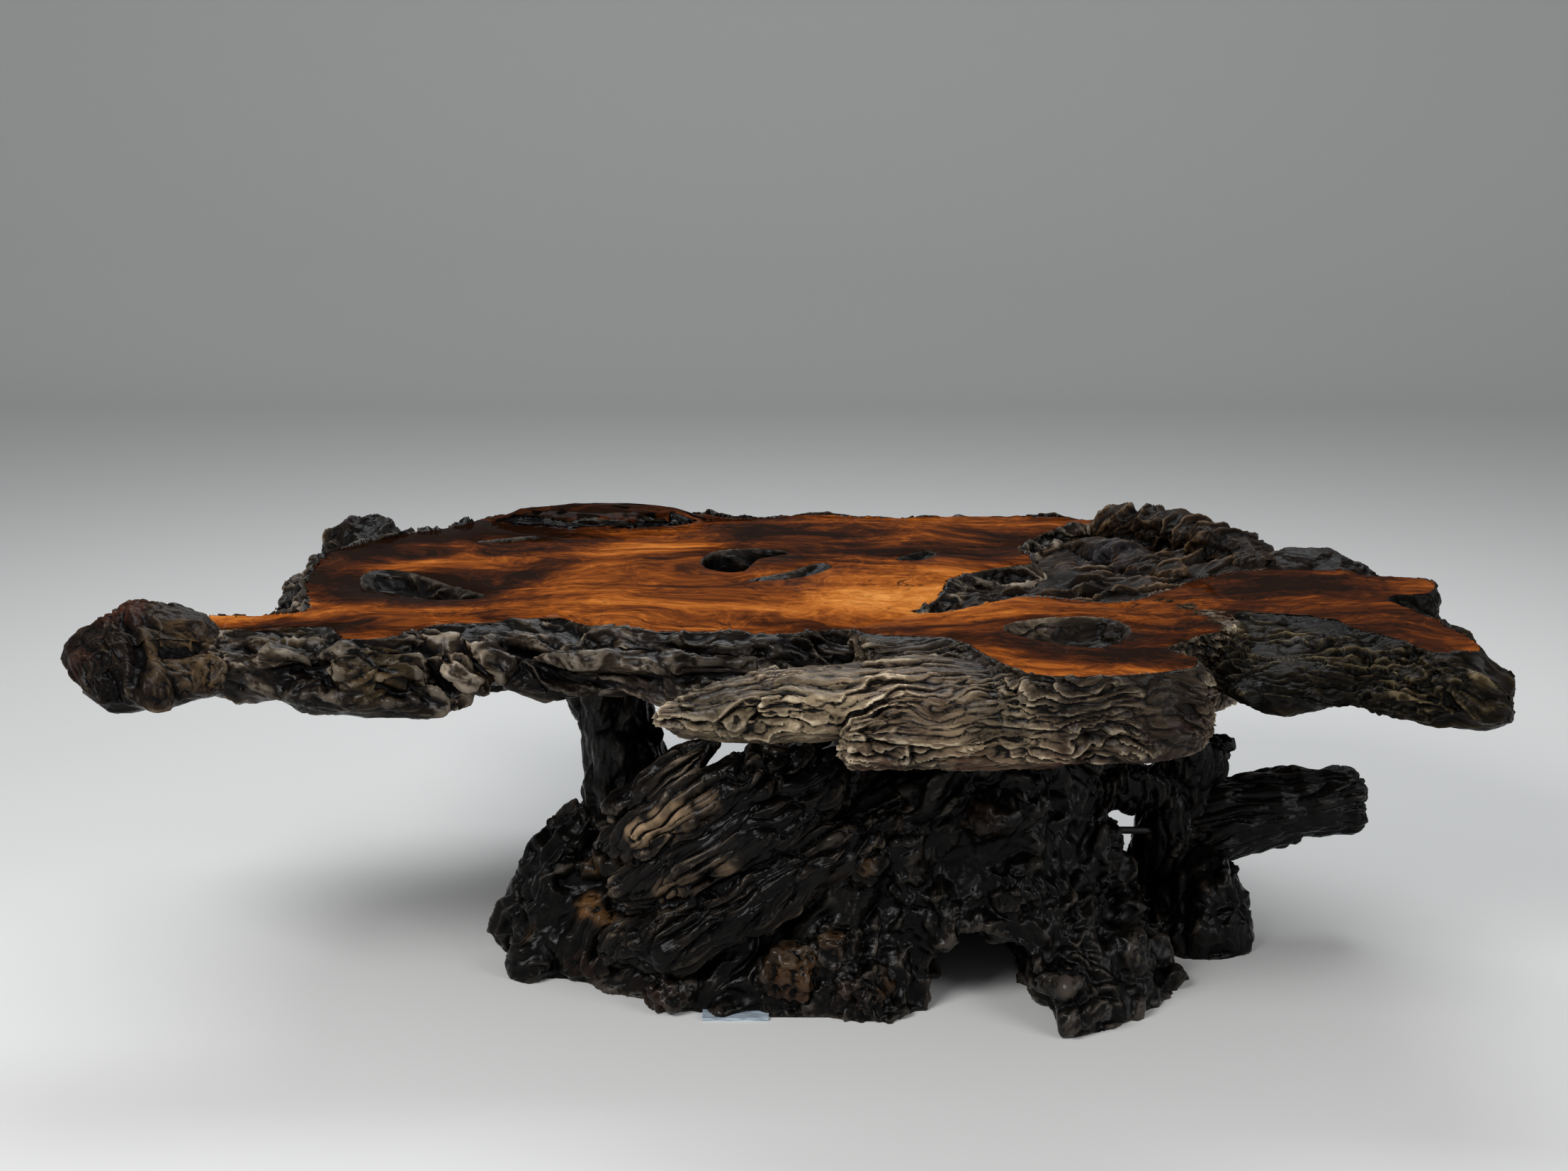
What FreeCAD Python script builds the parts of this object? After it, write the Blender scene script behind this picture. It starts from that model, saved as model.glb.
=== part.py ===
# Live edge coffee table: a burl top of scribed pieces on a base of joined roots.
# Lengths are millimetres. +X runs to the right of the front, +Y to the back, +Z up,
# and the origin lies on the floor under the middle of the table.
import FreeCAD, Part
import math
import os

import Sketcher
from FreeCAD import Placement, Rotation, Vector

# Driving sizes, kept in the sheet: alias and value.
SIZES = (
    ("table_length", 1640),
    ("table_depth", 920),
    ("top_height", 460),
    ("slab_thickness", 75),
    ("ledge_thickness", 96),
    ("wing_thickness", 80),
    ("ridge_sink", 20),
    ("edge_ripple", 8),
    ("swell_girth", 24),
    ("burl_girth", 50),
    ("knob_girth", 44),
    ("rear_burl_girth", 40),
    ("ridge_girth", 27),
    ("arm_girth", 46),
    ("hollow_depth", 40),
    ("shallow_depth", 14),
    ("base_length", 900),
    ("base_depth", 580),
    ("stump_reach", 400),
    ("toe_reach", 106),
    ("arch_girth", 74),
    ("flute_depth", 12),
    ("boss_girth", 36),
    ("left_post_girth", 54),
    ("right_post_girth", 42),
    ("branch_girth", 56),
    ("splinter_girth", 36),
    ("rear_root_girth", 58),
    ("tie_girth", 10),
    ("tie_length", 96),
    ("dowel_girth", 16),
    ("dowel_length", 104),
    ("pin_girth", 28),
    ("pin_length", 76),
    ("bore_clearance", 0.2),
    ("end_clearance", 0.5),
    ("shim_length", 78),
    ("shim_width", 46),
    ("shim_thickness", 4),
    ("cut_overrun", 20),
)

# Slab outlines as shares of half the table's length and half its depth: the polished top
# line (x, y), then the widest line of the live edge below it (x, y).
SLAB_SHARES = (
    (-0.84, -0.47, -0.84, -0.60), (-0.75, -0.54, -0.76, -0.65), (-0.65, -0.49, -0.65, -0.63),
    (-0.62, -0.62, -0.61, -0.68), (-0.54, -0.60, -0.53, -0.67), (-0.50, -0.47, -0.47, -0.63),
    (-0.43, -0.44, -0.41, -0.61), (-0.33, -0.40, -0.33, -0.57), (-0.27, -0.52, -0.26, -0.58),
    (-0.10, -0.55, -0.10, -0.61), (-0.02, -0.58, -0.02, -0.63), (0.09, -0.51, 0.09, -0.57),
    (0.15, -0.42, 0.16, -0.45), (0.18, -0.33, 0.20, -0.34), (0.22, -0.22, 0.24, -0.23),
    (0.24, -0.02, 0.265, -0.03), (0.27, 0.09, 0.29, 0.06), (0.34, 0.18, 0.35, 0.14),
    (0.39, 0.25, 0.41, 0.24), (0.38, 0.45, 0.405, 0.45), (0.42, 0.60, 0.44, 0.59),
    (0.47, 0.75, 0.49, 0.74), (0.53, 0.85, 0.55, 0.87), (0.43, 0.90, 0.43, 0.94),
    (0.30, 0.92, 0.30, 0.96), (0.22, 0.88, 0.22, 0.92), (0.04, 0.93, 0.04, 0.97),
    (-0.09, 0.87, -0.09, 0.91), (-0.15, 0.93, -0.15, 0.98), (-0.25, 0.95, -0.25, 1.00),
    (-0.39, 0.95, -0.39, 1.00), (-0.52, 0.90, -0.53, 0.94), (-0.56, 0.78, -0.58, 0.82),
    (-0.64, 0.64, -0.66, 0.67), (-0.73, 0.45, -0.75, 0.46), (-0.75, 0.26, -0.78, 0.26),
    (-0.74, 0.00, -0.77, 0.00), (-0.71, -0.22, -0.74, -0.23), (-0.705, -0.355, -0.72, -0.33),
    (-0.79, -0.385, -0.80, -0.355), (-0.84, -0.41, -0.85, -0.40),
)
LEDGE_SHARES = (
    (0.11, -0.57, 0.11, -0.66), (0.22, -0.61, 0.19, -0.82), (0.26, -0.76, 0.25, -0.93),
    (0.31, -0.94, 0.31, -1.00), (0.38, -0.97, 0.38, -1.00), (0.45, -0.95, 0.46, -1.00),
    (0.53, -0.89, 0.545, -0.95), (0.545, -0.79, 0.565, -0.81), (0.515, -0.71, 0.53, -0.71),
    (0.57, -0.60, 0.575, -0.60), (0.63, -0.48, 0.63, -0.48), (0.635, -0.30, 0.635, -0.30),
    (0.64, -0.13, 0.64, -0.13), (0.63, 0.02, 0.63, 0.03), (0.55, -0.13, 0.54, -0.09),
    (0.49, -0.24, 0.48, -0.20), (0.43, -0.21, 0.43, -0.16), (0.36, -0.16, 0.35, -0.12),
    (0.31, -0.21, 0.30, -0.165), (0.22, -0.34, 0.20, -0.30), (0.14, -0.36, 0.14, -0.36),
    (0.08, -0.44, 0.08, -0.44),
)
WING_SHARES = (
    (0.63, -0.30, 0.595, -0.74), (0.67, -0.34, 0.63, -0.81), (0.72, -0.345, 0.71, -0.83),
    (0.775, -0.37, 0.77, -0.82), (0.79, -0.51, 0.82, -0.84), (0.84, -0.62, 0.86, -0.86),
    (0.855, -0.72, 0.89, -0.89), (0.92, -0.76, 0.945, -0.92), (0.945, -0.67, 1.00, -0.76),
    (0.93, -0.53, 0.985, -0.56), (0.915, -0.35, 0.95, -0.36), (0.885, -0.21, 0.90, -0.21),
    (0.91, -0.15, 0.92, -0.155), (0.96, -0.13, 0.97, -0.14), (0.985, -0.02, 0.995, -0.02),
    (0.975, 0.06, 0.985, 0.08), (0.89, 0.09, 0.89, 0.12), (0.87, 0.15, 0.87, 0.18),
    (0.75, 0.155, 0.76, 0.19), (0.68, 0.11, 0.68, 0.15), (0.63, 0.04, 0.63, 0.05),
    (0.59, -0.06, 0.59, -0.06), (0.59, -0.20, 0.575, -0.40),
)
RIDGE_SHARES = (
    (0.15, -0.38, 0.15, -0.38), (0.24, -0.28, 0.24, -0.28), (0.34, -0.18, 0.34, -0.18),
    (0.47, -0.24, 0.47, -0.24), (0.56, -0.10, 0.56, -0.10), (0.66, 0.06, 0.66, 0.06),
    (0.76, 0.14, 0.76, 0.14), (0.78, 0.30, 0.79, 0.31), (0.74, 0.51, 0.76, 0.53),
    (0.70, 0.70, 0.72, 0.74), (0.64, 0.76, 0.65, 0.80), (0.58, 0.84, 0.59, 0.89),
    (0.51, 0.87, 0.51, 0.91), (0.42, 0.78, 0.42, 0.78), (0.35, 0.50, 0.35, 0.50),
    (0.30, 0.20, 0.30, 0.20), (0.20, -0.06, 0.20, -0.06),
)
# How far the edge has dropped, as a share of the thickness, and swung out from the top
# line to the widest line, level by level.
EDGE_PROFILE_SHARES = (
    (0.0, 0.0), (0.14, 0.42), (0.34, 0.80), (0.58, 1.0), (0.82, 0.84), (1.0, 0.45),
)
RIPPLE_SHARES = ((1.9, 0.65), (3.7, 0.35))
RIPPLE_DROP_SHARE = 0.9

# Hollows of the top as shares of half the length and half the depth.
THROUGH_HOLE_SHARES = (
    (-0.14, 0.24), (-0.125, 0.38), (-0.09, 0.425), (-0.03, 0.43), (0.0, 0.37), (-0.05, 0.30),
    (-0.07, 0.14), (-0.11, 0.14),
)
LEFT_HOLLOW_SHARES = (
    (-0.66, 0.05), (-0.65, 0.15), (-0.60, 0.14), (-0.52, -0.03), (-0.45, -0.16),
    (-0.48, -0.20), (-0.54, -0.20), (-0.60, -0.12), (-0.64, -0.08),
)
SLOT_SHARES = (
    (-0.52, 0.52), (-0.48, 0.57), (-0.42, 0.62), (-0.42, 0.57), (-0.47, 0.52),
)
MIDDLE_HOLLOW_SHARES = (
    (-0.07, 0.01), (-0.03, 0.08), (0.01, 0.15), (0.05, 0.25), (0.07, 0.20), (0.04, 0.10),
    (-0.01, 0.03),
)
SMALL_HOLLOW_SHARES = ((0.17, 0.28), (0.19, 0.35), (0.23, 0.41), (0.24, 0.35), (0.21, 0.28))
LEDGE_HOLLOW_SHARES = (
    (0.30, -0.53), (0.32, -0.45), (0.38, -0.40), (0.45, -0.40), (0.48, -0.49),
    (0.465, -0.62), (0.42, -0.70), (0.38, -0.68), (0.34, -0.63),
)
BOWL_NARROWING_SHARES = ((0.0, 1.0), (0.55, 0.78), (1.0, 0.40))
HOLE_NARROWING_SHARE = 0.82

# Lumps and arms of the top: x and y as shares of half the length and half the depth,
# z as a share of the top's height, then the girth shares across and upright.
LEFT_BURL_PATHS_SHARES = (
    ((-1.0, -0.53, 0.915, 0.55, 0.42), (-0.98, -0.53, 0.915, 1.00, 0.72),
     (-0.935, -0.53, 0.945, 1.40, 0.98), (-0.88, -0.51, 0.955, 1.28, 0.98),
     (-0.83, -0.49, 0.945, 1.05, 0.82), (-0.79, -0.48, 0.94, 0.70, 0.60)),
    ((-0.975, -0.61, 0.890, 0.30, 0.30), (-0.93, -0.64, 0.898, 0.85, 0.66),
     (-0.86, -0.65, 0.900, 0.80, 0.66), (-0.79, -0.60, 0.905, 0.45, 0.45)),
)
REAR_KNOB_PATHS_SHARES = (
    ((-0.78, 0.70, 0.945, 0.40, 0.40), (-0.745, 0.68, 0.955, 1.00, 0.85),
     (-0.70, 0.66, 0.955, 1.15, 0.90), (-0.66, 0.60, 0.945, 1.00, 0.80),
     (-0.61, 0.55, 0.94, 0.55, 0.45)),
    ((-0.76, 0.50, 0.925, 0.45, 0.45), (-0.72, 0.56, 0.93, 0.85, 0.85),
     (-0.68, 0.66, 0.935, 0.90, 0.85), (-0.61, 0.71, 0.935, 0.45, 0.45)),
)
SLAB_LUMP_PATHS_SHARES = (
    ((-0.54, 0.86, 0.960, 0.55, 0.45), (-0.46, 0.84, 0.985, 1.50, 1.00),
     (-0.37, 0.83, 0.993, 2.20, 1.15), (-0.28, 0.83, 0.993, 2.30, 1.15),
     (-0.20, 0.84, 0.988, 1.80, 1.05), (-0.12, 0.86, 0.965, 0.70, 0.45)),
    ((-0.74, -0.56, 0.875, 0.50, 0.50), (-0.66, -0.60, 0.870, 1.10, 1.05),
     (-0.58, -0.61, 0.862, 1.35, 1.20), (-0.51, -0.60, 0.848, 1.20, 1.05),
     (-0.455, -0.60, 0.832, 0.55, 0.45)),
    ((-0.40, -0.56, 0.880, 0.45, 0.45), (-0.34, -0.56, 0.872, 0.95, 0.85),
     (-0.27, -0.56, 0.875, 0.45, 0.45)),
    ((-0.24, -0.55, 0.870, 0.50, 0.45), (-0.17, -0.57, 0.862, 1.10, 0.95),
     (-0.10, -0.58, 0.870, 0.55, 0.50)),
)
# Folds of bark along the slab's edges, as the lumps above.
SLAB_FOLD_PATHS_SHARES = (
    ((-0.77, -0.600, 0.945, 0.25, 0.25), (-0.73, -0.625, 0.948, 0.62, 0.50),
     (-0.68, -0.610, 0.950, 0.62, 0.50), (-0.64, -0.570, 0.958, 0.25, 0.25)),
    ((-0.475, -0.575, 0.952, 0.30, 0.30), (-0.458, -0.620, 0.925, 0.72, 0.60),
     (-0.440, -0.625, 0.890, 0.66, 0.60), (-0.425, -0.600, 0.855, 0.30, 0.30)),
    ((-0.36, -0.560, 0.930, 0.25, 0.25), (-0.29, -0.590, 0.935, 0.60, 0.46),
     (-0.20, -0.605, 0.928, 0.62, 0.46), (-0.12, -0.610, 0.925, 0.50, 0.40),
     (-0.05, -0.620, 0.930, 0.25, 0.25)),
    ((-0.780, -0.02, 0.925, 0.30, 0.30), (-0.785, 0.12, 0.930, 0.70, 0.60),
     (-0.780, 0.28, 0.925, 0.70, 0.60), (-0.755, 0.42, 0.930, 0.30, 0.30)),
    ((-0.04, 0.945, 0.925, 0.30, 0.30), (0.06, 0.972, 0.930, 0.66, 0.55),
     (0.17, 0.960, 0.925, 0.66, 0.55), (0.26, 0.950, 0.930, 0.30, 0.30)),
)
LEDGE_ARM_PATHS_SHARES = (
    ((-0.175, -0.89, 0.878, 0.20, 0.18), (-0.145, -0.88, 0.877, 0.55, 0.44),
     (-0.09, -0.85, 0.878, 0.98, 0.68), (-0.01, -0.81, 0.884, 1.28, 0.86),
     (0.08, -0.79, 0.890, 1.45, 0.88), (0.18, -0.78, 0.887, 1.55, 0.97),
     (0.30, -0.80, 0.882, 1.60, 0.98), (0.42, -0.80, 0.882, 1.55, 0.98),
     (0.51, -0.80, 0.890, 1.00, 0.70)),
    ((0.068, -0.90, 0.832, 0.58, 0.46), (0.080, -0.90, 0.830, 0.84, 0.68),
     (0.21, -0.89, 0.832, 0.95, 0.76), (0.34, -0.88, 0.837, 0.95, 0.78),
     (0.46, -0.86, 0.850, 0.85, 0.68), (0.53, -0.84, 0.868, 0.45, 0.38)),
)
RIDGE_PATHS_SHARES = (
    ((0.52, 0.84, 0.965, 0.60, 0.50), (0.58, 0.78, 0.985, 1.20, 0.95),
     (0.64, 0.70, 0.992, 1.45, 1.05), (0.70, 0.58, 0.990, 1.40, 1.05),
     (0.745, 0.42, 0.985, 1.25, 0.95), (0.76, 0.27, 0.970, 0.80, 0.60)),
    ((0.47, 0.66, 0.94, 0.50, 0.45), (0.52, 0.50, 0.945, 1.30, 1.00),
     (0.57, 0.32, 0.95, 1.45, 1.05), (0.62, 0.20, 0.945, 0.70, 0.60)),
    ((0.38, 0.10, 0.915, 0.55, 0.50), (0.45, 0.02, 0.925, 1.15, 0.95),
     (0.52, 0.05, 0.925, 0.95, 0.80), (0.58, 0.10, 0.915, 0.45, 0.40)),
)
REAR_BURL_PATHS_SHARES = (
    ((0.755, 0.33, 0.945, 0.50, 0.45), (0.80, 0.32, 0.95, 1.20, 0.85),
     (0.85, 0.29, 0.95, 1.30, 0.85), (0.895, 0.22, 0.94, 0.95, 0.70),
     (0.92, 0.17, 0.93, 0.45, 0.40)),
)

# Reach of the stump from its middle, every fifteen degrees from +X, as shares of the
# stump's reach: on the floor, at the waist and at the crown.
STUMP_FLOOR_REACH_SHARES = (
    0.94, 0.88, 0.80, 0.73, 0.69, 0.69, 0.70, 0.71, 0.71, 0.73, 0.78, 0.87,
    0.97, 0.98, 0.89, 0.83, 0.69, 0.67, 0.62, 0.57, 0.84, 1.00, 0.97, 0.96,
)
STUMP_WAIST_REACH_SHARES = (
    0.72, 0.70, 0.65, 0.61, 0.59, 0.57, 0.56, 0.55, 0.54, 0.54, 0.57, 0.63,
    0.70, 0.70, 0.65, 0.59, 0.54, 0.50, 0.49, 0.51, 0.57, 0.66, 0.72, 0.74,
)
STUMP_CROWN_REACH_SHARES = (
    0.36, 0.37, 0.40, 0.42, 0.45, 0.46, 0.47, 0.47, 0.45, 0.39, 0.35, 0.31,
    0.30, 0.31, 0.35, 0.39, 0.42, 0.44, 0.44, 0.45, 0.47, 0.46, 0.40, 0.37,
)
# Height share, middle as shares of the base's length and depth, and how far the outline
# has gone from the floor's (0) through the waist's (1) to the crown's (2).
STUMP_LEVEL_SHARES = (
    (0.0, 0.124, -0.07, 0.0), (0.10, 0.123, -0.07, 0.22), (0.20, 0.12, -0.075, 0.52),
    (0.32, 0.116, -0.08, 0.82), (0.44, 0.113, -0.085, 0.96), (0.54, 0.135, -0.085, 1.14),
    (0.63, 0.200, -0.09, 1.62), (0.74, 0.235, -0.095, 1.86), (0.86, 0.252, -0.10, 1.96),
    (1.0, 0.258, -0.10, 2.0),
)
# Bosses on the stump: turn from +X in degrees, height share and girth share.
STUMP_BOSS_SHARES = (
    (219, 0.05, 1.10), (243, 0.12, 0.95), (264, 0.08, 1.05), (267, 0.46, 0.85),
    (294, 0.60, 0.95), (311, 0.39, 1.15), (340, 0.41, 1.15), (327, 0.15, 1.20),
    (309, 0.05, 1.10), (60, 0.14, 1.25), (95, 0.32, 1.10), (130, 0.12, 1.25),
)
# How far a boss reaches past the stump's skin and how wide it is there, in its girths.
BOSS_PROFILE_SHARES = ((-0.80, 1.0), (-0.10, 0.98), (0.30, 0.74), (0.50, 0.34))
STUMP_FLUTES = 11
STUMP_FLUTE_TURN_SHARE = 0.9
ARCH_PATH_SHARES = (
    (0.262, -0.72, 0.0, 1.10, 1.50), (0.258, -0.45, 0.0, 1.00, 1.45),
    (0.252, -0.20, 0.0, 0.85, 1.15), (0.248, 0.02, 0.0, 0.50, 0.60),
)

# Reach of the toe root every forty-five degrees from +X, as shares of the toe's reach.
TOE_REACH_SHARES = (0.90, 0.85, 0.78, 0.80, 0.75, 0.72, 0.88, 1.05)
TOE_LEVEL_SHARES = (
    (0.0, -0.307, -0.155, 1.0), (0.09, -0.306, -0.155, 1.03), (0.18, -0.300, -0.16, 0.92),
    (0.27, -0.292, -0.16, 0.82), (0.36, -0.283, -0.155, 0.74), (0.43, -0.270, -0.15, 0.58),
    (0.48, -0.262, -0.15, 0.34),
)
TOE_FLUTES = 5

# Roots and posts of the base: x and y as shares of the base's length and depth, z as a
# share of the height under the slab, then the girth shares across and upright.
LEFT_POST_PATH_SHARES = (
    (-0.302, 0.13, -0.10, 1.35, 1.45), (-0.290, 0.06, 0.12, 1.10, 1.15),
    (-0.262, -0.04, 0.30, 0.92, 0.98), (-0.232, -0.13, 0.46, 0.88, 0.95),
    (-0.222, -0.165, 0.60, 0.92, 1.02), (-0.222, -0.165, 0.70, 0.90, 0.96),
    (-0.236, -0.165, 0.80, 0.86, 0.90), (-0.246, -0.16, 0.90, 0.95, 0.98),
    (-0.250, -0.155, 1.04, 1.10, 1.05),
)
SPLINTER_PATHS_SHARES = (
    ((-0.240, -0.33, 0.46, 0.50, 0.50), (-0.180, -0.37, 0.53, 1.00, 1.00),
     (-0.105, -0.39, 0.62, 1.10, 1.05), (-0.035, -0.39, 0.71, 0.98, 0.92),
     (0.035, -0.38, 0.800, 0.45, 0.40)),
    ((-0.230, -0.30, 0.56, 0.45, 0.45), (-0.180, -0.33, 0.645, 0.85, 0.80),
     (-0.137, -0.335, 0.735, 0.66, 0.62), (-0.098, -0.33, 0.815, 0.24, 0.22)),
    ((-0.225, -0.34, 0.30, 0.60, 0.60), (-0.13, -0.40, 0.43, 1.22, 1.10),
     (-0.04, -0.415, 0.56, 1.28, 1.12), (0.05, -0.395, 0.70, 1.00, 0.92),
     (0.11, -0.37, 0.81, 0.50, 0.46)),
    ((-0.245, -0.33, 0.12, 0.60, 0.60), (-0.15, -0.42, 0.22, 1.25, 1.15),
     (-0.05, -0.435, 0.35, 1.30, 1.15), (0.06, -0.41, 0.50, 1.10, 1.00),
     (0.15, -0.37, 0.64, 0.55, 0.50)),
)
RIGHT_POST_PATHS_SHARES = (
    ((0.548, 0.09, -0.10, 1.50, 1.35), (0.540, 0.04, 0.12, 1.15, 1.10),
     (0.538, 0.00, 0.26, 0.92, 0.95), (0.542, -0.01, 0.40, 0.92, 0.95),
     (0.556, -0.01, 0.54, 0.92, 0.95), (0.552, -0.05, 0.67, 0.82, 0.85),
     (0.532, -0.12, 0.80, 0.72, 0.75), (0.524, -0.16, 0.92, 0.85, 0.85),
     (0.522, -0.17, 1.04, 1.00, 0.95)),
    ((0.560, -0.01, 0.50, 0.70, 0.70), (0.585, 0.0, 0.58, 0.68, 0.66),
     (0.606, 0.01, 0.64, 0.50, 0.50), (0.614, 0.01, 0.665, 0.38, 0.36)),
    ((0.560, -0.02, 0.49, 0.60, 0.66), (0.51, -0.05, 0.520, 0.70, 0.72),
     (0.45, -0.08, 0.545, 0.74, 0.80), (0.38, -0.11, 0.57, 0.70, 0.76)),
)
BRANCH_PATH_SHARES = (
    (0.545, 0.01, 0.34, 0.60, 0.70), (0.60, 0.01, 0.365, 0.85, 0.92),
    (0.65, 0.015, 0.385, 0.84, 0.92), (0.70, 0.02, 0.41, 0.78, 0.90),
    (0.735, 0.02, 0.43, 0.72, 0.80), (0.78, 0.02, 0.43, 0.72, 0.76),
    (0.81, 0.02, 0.43, 0.62, 0.66), (0.817, 0.02, 0.43, 0.40, 0.46),
)
REAR_ROOT_PATH_SHARES = (
    (0.583, -0.11, -0.10, 0.95, 1.10), (0.588, -0.09, 0.08, 1.00, 1.12),
    (0.584, -0.06, 0.17, 0.90, 1.00), (0.573, -0.03, 0.25, 0.70, 0.76),
    (0.560, -0.01, 0.32, 0.40, 0.40),
)

# Dowels between pieces of the top: middle as shares of half the length, half the depth
# and the top's height, and the direction as a turn from +X in degrees.
LEDGE_DOWEL_SHARES = ((0.125, -0.46, 0.915, 90), (0.40, -0.18, 0.89, 90), (0.52, -0.15, 0.89, 90))
WING_DOWEL_SHARES = ((0.635, -0.30, 0.90, 0), (0.635, -0.42, 0.90, 0))
RIDGE_DOWEL_SHARES = ((0.395, 0.36, 0.885, 0), (0.45, 0.66, 0.885, 0), (0.69, 0.13, 0.885, 90))
BURL_DOWEL_SHARES = ((-0.85, -0.48, 0.92, 0), (-0.655, 0.62, 0.92, 135), (0.83, 0.18, 0.91, 90))
# Upright pins between the base and the top, as shares of the base's length and depth.
PIN_SHARES = ((-0.248, -0.158, 1.0), (0.20, -0.06, 1.0), (0.32, -0.04, 1.0), (0.523, -0.17, 1.0))
# Dowels between the roots: middle as shares of the base's length, depth and height.
ROOT_DOWEL_SHARES = ((-0.225, -0.16, 0.20, 0), (0.575, 0.0, 0.37, 0), (-0.08, -0.36, 0.56, 90))
TIE_SHARES = ((0.469, -0.05, 0.37, 0),)
SHIM_SHARES = (-0.07, -0.47)

PEG_SIDES = 8
LIMB_SIDES = 12
ROOT_STEP = 8
LIMB_KNOT_SHARE = 0.07
KNOT_LOBES = 3
KNOT_SHIFT = 2
RIPPLE_SHIFT = 2
SMALLEST_SHARE = 0.04
HALF = 0.5
SMOOTH_CUTS = 2
FULL_TURN = 360
CUBIC_MM_IN_LITRE = 1e6
UPRIGHT = Vector(0, 0, 1)
QUARTER_OVER = Rotation(Vector(0, 1, 0), FULL_TURN / 4)


def make_sheet(doc):
    """Put the driving sizes in a sheet and give back their values by alias."""
    sheet = doc.addObject("Spreadsheet::Sheet", "Sizes")
    for row, (alias, value) in enumerate(SIZES, start=1):
        sheet.set(f"A{row}", alias)
        sheet.set(f"B{row}", str(value))
        sheet.setAlias(f"B{row}", alias)
    doc.recompute()
    return {alias: float(sheet.get(alias)) for alias, _ in SIZES}


def between(start, end, share):
    """The value that lies a share of the way from start to end."""
    return start + (end - start) * share


def rounded(rows, cuts):
    """A closed Catmull-Rom line through the rows, each span in so many cuts."""
    count = len(rows)
    line = []
    for index in range(count):
        before, here, after, beyond = (rows[(index + step) % count] for step in (-1, 0, 1, 2))
        for cut in range(cuts):
            t = cut / cuts
            line.append(tuple(
                HALF * (2 * b + (c - a) * t + (2 * a - 5 * b + 4 * c - d) * t ** 2
                        + (3 * b - a - 3 * c + d) * t ** 3)
                for a, b, c, d in zip(before, here, after, beyond)
            ))
    return line


def stacked(rings):
    """A solid with flat facets over a stack of rings that have as many points each."""
    faces = []
    count = len(rings[0])
    for lower, upper in zip(rings, rings[1:]):
        for index in range(count):
            following = (index + 1) % count
            a, b = lower[index], lower[following]
            c, d = upper[following], upper[index]
            faces.append(Part.Face(Part.makePolygon([a, b, c, a])))
            faces.append(Part.Face(Part.makePolygon([a, c, d, a])))
    for ring in (rings[0], rings[-1]):
        faces.append(Part.Face(Part.makePolygon(list(ring) + [ring[0]])))
    solid = Part.makeSolid(Part.makeShell(faces))
    if solid.Volume < 0:
        solid.reverse()
    return solid


def held(value, limit):
    """The value, kept between minus the limit and the limit."""
    return max(-limit, min(limit, value))


def edge_form(size, rows, top, thickness):
    """A live edge piece: flat top and underside, with a rippled edge between them."""
    half_length = size["table_length"] / 2
    half_depth = size["table_depth"] / 2
    line = rounded(rows, SMOOTH_CUTS)
    rings = []
    for level, (drop, swing) in enumerate(EDGE_PROFILE_SHARES):
        inner = 0 < level < len(EDGE_PROFILE_SHARES) - 1
        ring = []
        for index, (top_x, top_y, wide_x, wide_y) in enumerate(line):
            start = Vector(top_x * half_length, top_y * half_depth)
            outward = Vector(wide_x * half_length, wide_y * half_depth) - start
            place = start + outward * swing
            height = top - thickness * drop
            if inner and outward.Length > size["edge_ripple"]:
                wave = sum(part * math.sin(pace * (index + level)) for pace, part in RIPPLE_SHARES)
                place += outward.normalize() * wave * size["edge_ripple"]
                swell = math.sin(index + RIPPLE_SHIFT * level)
                height += RIPPLE_DROP_SHARE * size["edge_ripple"] * swell
            ring.append(Vector(held(place.x, half_length), held(place.y, half_depth), height))
        rings.append(ring)
    return stacked(rings)


def limb_form(rows, girth):
    """A knotty limb: rows of (place, half width share, half height share) along its path."""
    rings = []
    places = [row[0] for row in rows]
    along = places[-1] - places[0]
    sideways = Vector(1, 0, 0) if abs(along.y) > max(abs(along.x), abs(along.z)) else Vector(0, 1, 0)
    for index, (place, wide, high) in enumerate(rows):
        ahead = places[min(index + 1, len(places) - 1)] - places[max(index - 1, 0)]
        ahead.normalize()
        across = (sideways - ahead * sideways.dot(ahead)).normalize()
        upward = ahead.cross(across)
        ring = []
        for side in range(LIMB_SIDES):
            angle = math.radians(side * FULL_TURN / LIMB_SIDES)
            knot = 1 + LIMB_KNOT_SHARE * math.sin(KNOT_LOBES * angle + KNOT_SHIFT * index)
            ring.append(place + across * (girth * wide * knot * math.cos(angle))
                        + upward * (girth * high * knot * math.sin(angle)))
        rings.append(ring)
    return stacked(rings)


def top_limb(size, rows, girth):
    """A limb of the top, with its path in shares of the table's sizes."""
    half_length = size["table_length"] / 2
    half_depth = size["table_depth"] / 2
    path = [
        (Vector(x * half_length, y * half_depth, z * size["top_height"]), wide, high)
        for x, y, z, wide, high in rows
    ]
    return limb_form(path, girth)


def base_limb(size, rows, girth):
    """A limb of the base, with its path in shares of the base's sizes."""
    height = size["top_height"] - size["slab_thickness"]
    path = [
        (Vector(x * size["base_length"], y * size["base_depth"], z * height), wide, high)
        for x, y, z, wide, high in rows
    ]
    return limb_form(path, girth)


def joined(solids):
    """One solid of several that run into each other."""
    return solids[0].multiFuse(solids[1:]) if len(solids) > 1 else solids[0]


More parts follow.
